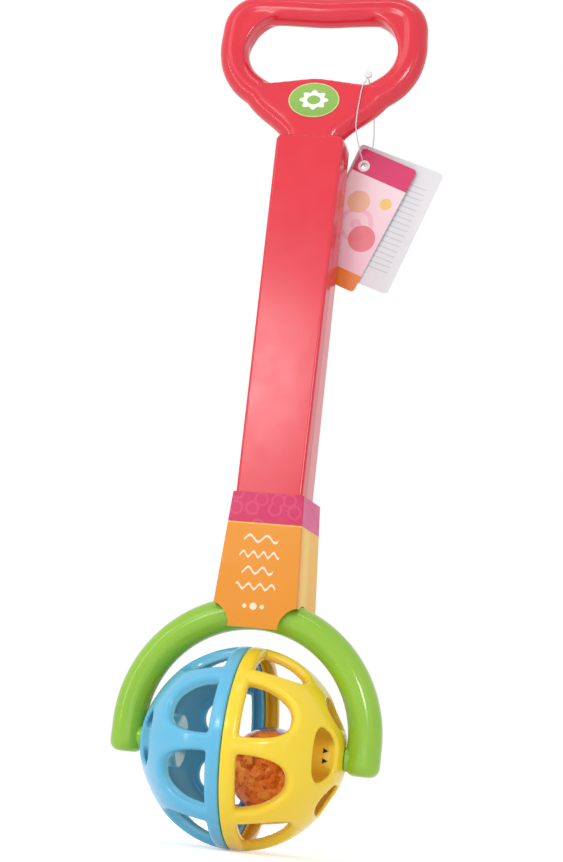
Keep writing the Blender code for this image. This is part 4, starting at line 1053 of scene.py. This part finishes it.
def chimeHalf(name, turn, banded):
    radius, inner, bandZ = chimeSizes["radius"], chimeSizes["radius"] - chimeSizes["wall"], chimeSizes["band"]
    profile = arcPoints(radius, 90, 0.3, 30)
    if banded:  # a low raised band beside the joint
        profile = [(r, z) for r, z in profile if z > bandZ * 1.15]
        profile += [(radius * 0.998, bandZ), (radius, bandZ * 0.9), (radius, 0.00015)]
    piece = turnedShape(name, profile + arcPoints(inner, 90, 0.3, 30)[::-1], 96)
    piece.rotation_euler = (math.radians(chimeSizes["tilt"] + turn), 0, 0)
    piece.location = chimeSizes["centre"]
    settle(piece)
    softShade(piece, 40)
    return piece


def makeChime():
    orange = chimeHalf("chimeOrange", 0, False)
    clear = chimeHalf("chimeClear", 180, True)
    finishPiece(
        orange, "chimeOrange", "chime_ball", orangeClear, "chime_orange_half",
    )
    finishPiece(clear, "chimeClear", "chime_ball", lilacClear, "chime_clear_half")


makeChime()
print("chime ball made")


# printed card sleeve

sleeveSizes = {
    "topZ": 0.2404,
    "lowZ": 0.1475,
    "flareZ": 0.1635,
    "card": 0.0006,
    "slack": 0.0009,
    "lowHalfWidth": 0.0288,
    "lowFront": 0.0160,
    "lowRear": 0.0325,
    "rearSpread": 0.0042,
    "fold": 0.0007,
    "notch": (0.0160, 0.0170),
    "toolY": 0.05,
    "rearShorter": 0.0085,
    "printX": -0.0010,
    "waves": ((0.2085, 0.0120, 0.0022, 0.0120), (0.1975, 0.0140, 0.0018, 0.0070),
              (0.1865, 0.0110, 0.0022, 0.0100), (0.1755, 0.0140, 0.0018, 0.0080)),
    "dotZ": 0.1620,
    "dots": ((-0.0060, 0.0016), (0.0, 0.0026), (0.0060, 0.0016)),
    "tube": 0.0006,
}


def makeSleevePrint():
    # a pink band with faint hoops over an orange field, and a thin line between them
    material, tree, shader = newMaterial("sleevePrint")
    size = sleeveSizes
    x, y, z = splitUp(tree, objectPlace(tree))
    cells = node(tree, "ShaderNodeTexVoronoi", feature="F1", voronoi_dimensions="2D")
    tune(cells, {"Scale": 85, "Randomness": 0.6})
    tree.links.new(putTogether(tree, x=maths(tree, "ADD", x, y), y=z), cells.inputs["Vector"])
    hoops = fade(tree, offFrom(tree, cells.outputs["Distance"], 0.36), 0.05, 0.09)
    # the flank is painted lighter, as if lit from the side, and its orange and pink get a pale upright painted
    # sheen
    flankPaintedLight = band(tree, y, -0.0125, -0.0105, smooth=True)
    sheen = band(tree, offFrom(tree, y, 0.0005), 0.002, 0.011, 1.0, 0.0, True)
    field = blendColour(tree, flankPaintedLight, "EA921A", blendColour(tree, sheen, "FFBC38", "FFD25E"))
    pink = layered(tree, "CF1458", [(times(tree, hoops, 0.3), "E8588F"), (times(tree, flankPaintedLight, 0.55), "EE5FA4")])
    # four rows of wavy strokes and a row of dots, on the front alone
    marks = []
    for rowZ, half, swing, pitch in size["waves"]:
        wave = times(tree, maths(tree, "SINE", times(tree, x, math.tau / pitch)), swing)
        away = offFrom(tree, maths(tree, "SUBTRACT", z, rowZ), wave)
        within = fade(tree, offFrom(tree, x, size["printX"]), half - 0.0004, half)
        marks.append(times(tree, fade(tree, away, 0.0007, 0.0010), within))
    flat = putTogether(tree, x=x, z=z)
    for dotX, dotRadius in size["dots"]:
        away = distanceTo(tree, flat, (size["printX"] + dotX, 0.0, size["dotZ"]))
        marks.append(fade(tree, away, dotRadius - 0.0003, dotRadius))
    front = maths(tree, "LESS_THAN", y, -0.0100)
    printed = layered(tree, field, [
        (times(tree, times(tree, highest(tree, marks), front), 0.85), "FFF1DC"),
        (band(tree, z, 0.2184, 0.2186), "FFC93C"),
        (band(tree, z, 0.2192, 0.2194), pink),
    ])
    useGroup(tree, paperGroup, shader, {"Fibre": 0.12}, printed)
    tune(shader, {"Specular IOR Level": 0.3, "Coat Weight": 0.08, "Coat Roughness": 0.15})
    return material


def makeBareCard():
    # the card's uncoated inside
    material, tree, shader = newMaterial("bareCard")
    tone = blendColour(tree, noise(tree, objectPlace(tree), 300, 4), "E9E4DA", "CFC8BA")
    useGroup(tree, paperGroup, shader, {"Fibre": 0.3}, tone)
    return material


def makeSleeve():
    size = sleeveSizes
    topZ, lowZ, toolY = size["topZ"], size["lowZ"], size["toolY"]
    topHalf, topFront, topRear = [span + size["slack"] for span in shaftSpans(topZ)]
    sleeve = fresh(bpy.ops.mesh.primitive_cube_add, size=2)
    for point in sleeve.data.vertices:
        side, top, low, spread = 1, topRear, size["lowRear"], size["rearSpread"]
        if point.co.y < 0:
            side, top, low, spread = -1, topFront, size["lowFront"], 0.0
        z = topZ if point.co.z > 0 else lowZ
        down = (topZ - z) / (topZ - size["flareZ"])
        half = topHalf + (size["lowHalfWidth"] - topHalf) * down + spread
        point.co = (math.copysign(half, point.co.x), side * (top + (low - top) * down), z)
    roundEdges(sleeve, lambda a, b: abs(a.z - b.z) > 0.05, size["fold"], 4)
    # both ends are open
    editAll(sleeve)
    bpy.ops.mesh.select_mode(type="FACE")
    bpy.ops.mesh.select_all(action="DESELECT")
    leaveEdit()
    for face in sleeve.data.polygons:
        face.select = abs(face.normal.z) > 0.9
    bpy.ops.object.mode_set(mode="EDIT")
    bpy.ops.mesh.delete(type="FACE")
    crossCuts((0, 0, 1), lowZ, topZ, 12)
    leaveEdit()
    weld(sleeve)
    for material in (makeSleevePrint(), makeBareCard()):
        sleeve.data.materials.append(material)
    applyMod(sleeve, "SOLIDIFY", thickness=size["card"], offset=-1, material_offset=1, material_offset_rim=1)
    notch, tab = size["notch"]
    notches = [side * (tab + notch) for side in (-1, 1)]
    cutWith(sleeve, joined([rod((x, -toolY, lowZ), (x, toolY, lowZ), notch, 64) for x in notches]))
    trim = (2 * size["lowHalfWidth"], toolY, 2 * size["rearShorter"])
    cutWith(sleeve, addBox(trim, (0, toolY / 2, lowZ)))
    cutWith(sleeve, archRing(size["tube"], 96))
    softShade(sleeve, 30, True)
    handOver(sleeve, "cardSleeve", "handle", "card_sleeve")


makeSleeve()
print("card sleeve made")


# oval label on the web

labelSizes = {
    "width": 0.0370,
    "height": 0.0260,
    "frontY": -0.0111,
    "backY": -0.0108,
    "z": 0.5273,
    "insets": (0.0004, 0.0012, 0.003),
}


def makeLabelPrint():
    # green oval with a pale rim and a plain white flower
    material, tree, shader = newMaterial("labelPrint")
    shift = node(tree, "ShaderNodeMapping", vector_type="POINT")
    shift.inputs["Location"].default_value = (0, 0, -labelSizes["z"])
    tree.links.new(objectPlace(tree), shift.inputs["Vector"])
    x, _, z = splitUp(tree, shift.outputs[0])
    across = maths(tree, "DIVIDE", x, labelSizes["width"] / 2)
    up = maths(tree, "DIVIDE", z, labelSizes["height"] / 2)
    reach = reachOf(tree, across, up)
    turn = maths(tree, "ARCTAN2", up, across)
    petals = times(tree, maths(tree, "COSINE", times(tree, turn, 8)), 0.07)
    green = blendColour(tree, band(tree, up, -1, 1), "7FAE35", "8DBB42")
    mixed = layered(tree, green, [
        (maths(tree, "LESS_THAN", reach, maths(tree, "ADD", petals, 0.5)), "FAFAF4"),
        (maths(tree, "LESS_THAN", reach, 0.26), "86B53C"),
        (band(tree, reach, 0.95, 0.96), "C9DB8E"),
    ])
    useGroup(tree, paperGroup, shader, {"Fibre": 0.03}, mixed)
    shader.inputs["Coat Weight"].default_value = 0.8
    return material


def makeLabel():
    size = labelSizes
    thick = size["backY"] - size["frontY"]
    label = settle(fresh(
        bpy.ops.mesh.primitive_circle_add, vertices=96, radius=0.5, fill_type="NGON",
        rotation=(math.radians(90), 0, 0),
    ))
    label.scale = (size["width"], 1, size["height"])
    label.location = (0, size["frontY"], size["z"])
    settle(label)
    editAll(label)
    for inset in size["insets"]:
        bpy.ops.mesh.inset(thickness=inset, depth=0.0)
    leaveEdit()
    applyMod(label, "SOLIDIFY", thickness=thick, offset=0)
    label.location = (0, thick / 2, 0)
    weld(label)
    softShade(label, 30)
    finishPiece(label, "ovalLabel", "handle", makeLabelPrint(), "badge_sticker")


makeLabel()
print("label made")


# swing tag: two card leaves and the button that closes the line

tagSizes = {
    "hole": (0.0349, 0.4918),
    "holeRadius": 0.0024,
    "thick": 0.0004,
    "corner": 0.0030,
    "cuts": (12, 24),
    "front": {"size": (0.0440, 0.1000), "centre": (0.0349, 0.0225, 0.4513), "lean": 22.0, "bow": 0.0012},
    "rear": {"size": (0.0660, 0.0970), "centre": (0.0458, 0.0255, 0.4534), "lean": 19.4, "bow": -0.0010},
    "spots": ((-0.010, -0.026, 0.0072, "4F9FCB"), (0.009, -0.012, 0.0100, "E8636F"),
              (-0.006, 0.012, 0.0085, "F0B98E"), (0.013, 0.018, 0.0045, "F7C948")),
    "button": {"centre": (0.03575, -0.0025, 0.5511), "radius": 0.0026, "thick": 0.0016, "edge": 0.0005},
}


def leafCoordinates(tree, leaf):
    # across and up on the leaf, from its middle, with the lean taken out
    shift = node(tree, "ShaderNodeVectorMath", operation="SUBTRACT")
    tree.links.new(objectPlace(tree), shift.inputs[0])
    shift.inputs[1].default_value = leaf["centre"]
    turned = node(tree, "ShaderNodeVectorRotate", rotation_type="Y_AXIS")
    turned.inputs["Angle"].default_value = -math.radians(leaf["lean"])
    tree.links.new(shift.outputs[0], turned.inputs["Vector"])
    x, _, z = splitUp(tree, turned.outputs[0])
    return x, z


def makeFrontLeafPrint():
    # rings and round spots on pale pink, a band above and below, a plain patch round the hole
    material, tree, shader = newMaterial("frontLeafPrint")
    leaf, (holeX, holeZ) = tagSizes["front"], tagSizes["hole"]
    x, z = leafCoordinates(tree, leaf)
    reach = reachOf(tree, x, maths(tree, "ADD", z, 0.004))
    rings = band(tree, maths(tree, "SINE", times(tree, reach, 700)), 0.3, 0.45)
    rings = times(tree, rings, fade(tree, reach, 0.0175, 0.018))
    layers = [(times(tree, rings, 0.5), "F3A3BD")]
    for spotX, spotZ, radius, tone in tagSizes["spots"]:
        away = reachOf(tree, maths(tree, "SUBTRACT", x, spotX), maths(tree, "SUBTRACT", z, spotZ))
        layers.append((fade(tree, away, radius - 0.0002, radius, 0.85), tone))
    fromHole = distanceTo(tree, objectPlace(tree), (holeX, leaf["centre"][1], holeZ))
    layers += [
        (band(tree, z, 0.0318, 0.0320), "DB1C66"),
        (fade(tree, z, -0.0372, -0.0370), "EE8420"),
        (fade(tree, fromHole, 0.0042, 0.0044), "FBF8F8"),
    ]
    field = blendColour(tree, band(tree, z, -0.036, 0.03), "F6C9D8", "FBE3EA")
    useGroup(tree, paperGroup, shader, {"Fibre": 0.08}, layered(tree, field, layers))
    shader.inputs["Coat Weight"].default_value = 0.5
    return material


def makeRearLeafPrint():
    # pale grey with faint ruled lines
    material, tree, shader = newMaterial("rearLeafPrint")
    x, z = leafCoordinates(tree, tagSizes["rear"])
    rule = band(tree, maths(tree, "FRACT", times(tree, z, 240)), 0.74, 0.8)
    lines = times(tree, rule, fade(tree, maths(tree, "ABSOLUTE", x), 0.026, 0.027))
    inside = times(tree, lines, fade(tree, maths(tree, "ABSOLUTE", z), 0.036, 0.037, 0.3))
    useGroup(tree, paperGroup, shader, {"Fibre": 0.1}, blendColour(tree, inside, "E4E5E9", "858993"))
    return material


def makeLeaf(name, leaf, material, nodeName):
    width, height = leaf["size"]
    thick, y = tagSizes["thick"], leaf["centre"][1]
    card = addBox((width, thick, height))
    roundEdges(card, lambda a, b: abs(a.y - b.y) > thick / 2, tagSizes["corner"], 6)
    editAll(card)
    for axis, span, count in zip(((1, 0, 0), (0, 0, 1)), leaf["size"], tagSizes["cuts"]):
        crossCuts(axis, -span / 2, span / 2, count)
    leaveEdit()
    turnTo(card, leaf["centre"], leaf["lean"])
    holeX, holeZ = tagSizes["hole"]
    cutWith(card, rod((holeX, y - 0.01, holeZ), (holeX, y + 0.01, holeZ), tagSizes["holeRadius"]))
    for point in card.data.vertices:
        away = math.hypot(point.co.x - holeX, point.co.z - holeZ) / height
        point.co.y += leaf["bow"] * away ** 2
    softShade(card, 30)
    finishPiece(card, name, "tag", material, nodeName)


def makeButton():
    size = tagSizes["button"]
    x, y, z = size["centre"]
    button = rod((x, y - size["thick"] / 2, z), (x, y + size["thick"] / 2, z), size["radius"], 48)
    roundEdges(button, lambda a, b: abs(a.y - b.y) < 0.0002, size["edge"], 4)
    softShade(button, 40)
    return finishPiece(button, "tagButton", "handle", whitePlastic, "tag_button")


makeLeaf("frontLeaf", tagSizes["front"], makeFrontLeafPrint(), "tag_front_leaf")
makeLeaf("rearLeaf", tagSizes["rear"], makeRearLeafPrint(), "tag_rear_leaf")
tagButton = makeButton()
print("swing tag made")


# small parts that stay as they are get their finish

smallFinishes = {
    "axle_peg": greenPlastic,
    "axle_screw": steelFinish,
    "axle_washer": steelFinish,
    "shell_screw": steelFinish,
    "stem_screw": steelFinish,
    "fork_screw": steelFinish,
    "chime_frame": whitePlastic,
    "chime_tine": steelFinish,
    "chime_striker": brassFinish,
    "chime_bead": beadPlastic,
}


def dressSmallParts():
    for name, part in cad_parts.items():
        for start, material in smallFinishes.items():
            if name.startswith(start):
                for slot in part.material_slots:
                    slot.material = material


dressSmallParts()
print("small parts dressed")


# floor, light and backdrop

studio = {
    "world": 0.68,
    "lamps": (
        ("keyLamp", (-0.9, -1.3, 1.3), (0.7, 0.7), 2.6),
        ("frontBoard", (-0.475, -1.42, 0.660), (0.38, 0.34), 1.85),
        ("frontGlow", (-0.475, -1.44, 0.700), (0.38, 0.18), 1.3),
        ("leftStrip", (-0.85, -0.6, 0.45), (0.07, 0.7), 1.2),
        ("rightStrip", (1.1, -0.7, 0.6), (0.10, 0.8), 0.7),
        ("lowFill", (0.35, -1.35, 0.02), (0.9, 0.25), 1.3),
        ("topStrip", (0.1, -0.55, 1.45), (0.7, 0.10), 1.2),
        ("smallPanel", (0.75, -1.25, 0.58), (0.20, 0.26), 5.4),
    ),
    "shineOnly": ("smallPanel",),
    "aim": (0.0, 0.0, 0.33),
    "floorGlow": 0.42,
    "floorZ": -0.0002,
}


def makeLamps():
    for name, place, (wide, high), power in studio["lamps"]:
        data = bpy.data.lights.new(name, "AREA")
        data.shape = "RECTANGLE"
        data.size, data.size_y = wide, high
        data.energy = power
        lamp = bpy.data.objects.new(name, data)
        bpy.context.scene.collection.objects.link(lamp)
        lamp.location = place
        lamp.rotation_euler = (Vector(studio["aim"]) - Vector(place)).to_track_quat("-Z", "Y").to_euler()
        lamp.visible_diffuse = name not in studio["shineOnly"]


def seenShare(tree):
    # one where the camera meets it, straight, in a reflection or through clear plastic
    rays = node(tree, "ShaderNodeLightPath").outputs
    return highest(tree, [rays[name] for name in ("Is Camera Ray", "Is Glossy Ray", "Is Transmission Ray")])


def makeWorld():
    world = bpy.data.worlds.new("studioWorld")
    bpy.context.scene.world = world
    world.use_nodes = True
    tree = world.node_tree
    backdrop = tree.nodes["Background"]
    backdrop.inputs["Color"].default_value = (1, 1, 1, 1)
    strength = maths(tree, "ADD", times(tree, seenShare(tree), 1.0 - studio["world"]), studio["world"])
    tree.links.new(strength, backdrop.inputs["Strength"])


def makeFloor():
    floor = settle(fresh(bpy.ops.mesh.primitive_plane_add, size=12, location=(0, 0, studio["floorZ"])))
    floor.name = "studioFloor"
    material, tree, shader = newMaterial("paleFloor")
    tone = blendColour(tree, noise(tree, objectPlace(tree), 3), "FFFFFF", "FBFBFB")
    tree.links.new(tone, shader.inputs["Base Color"])
    tune(shader, {"Roughness": 0.9, "Specular IOR Level": 0.0, "Emission Color": (1, 1, 1, 1)})
    tree.links.new(times(tree, seenShare(tree), studio["floorGlow"]), shader.inputs["Emission Strength"])
    floor.data.materials.append(material)


makeLamps()
makeWorld()
makeFloor()
bpy.context.scene.view_settings.view_transform = "Standard"
print("studio set")
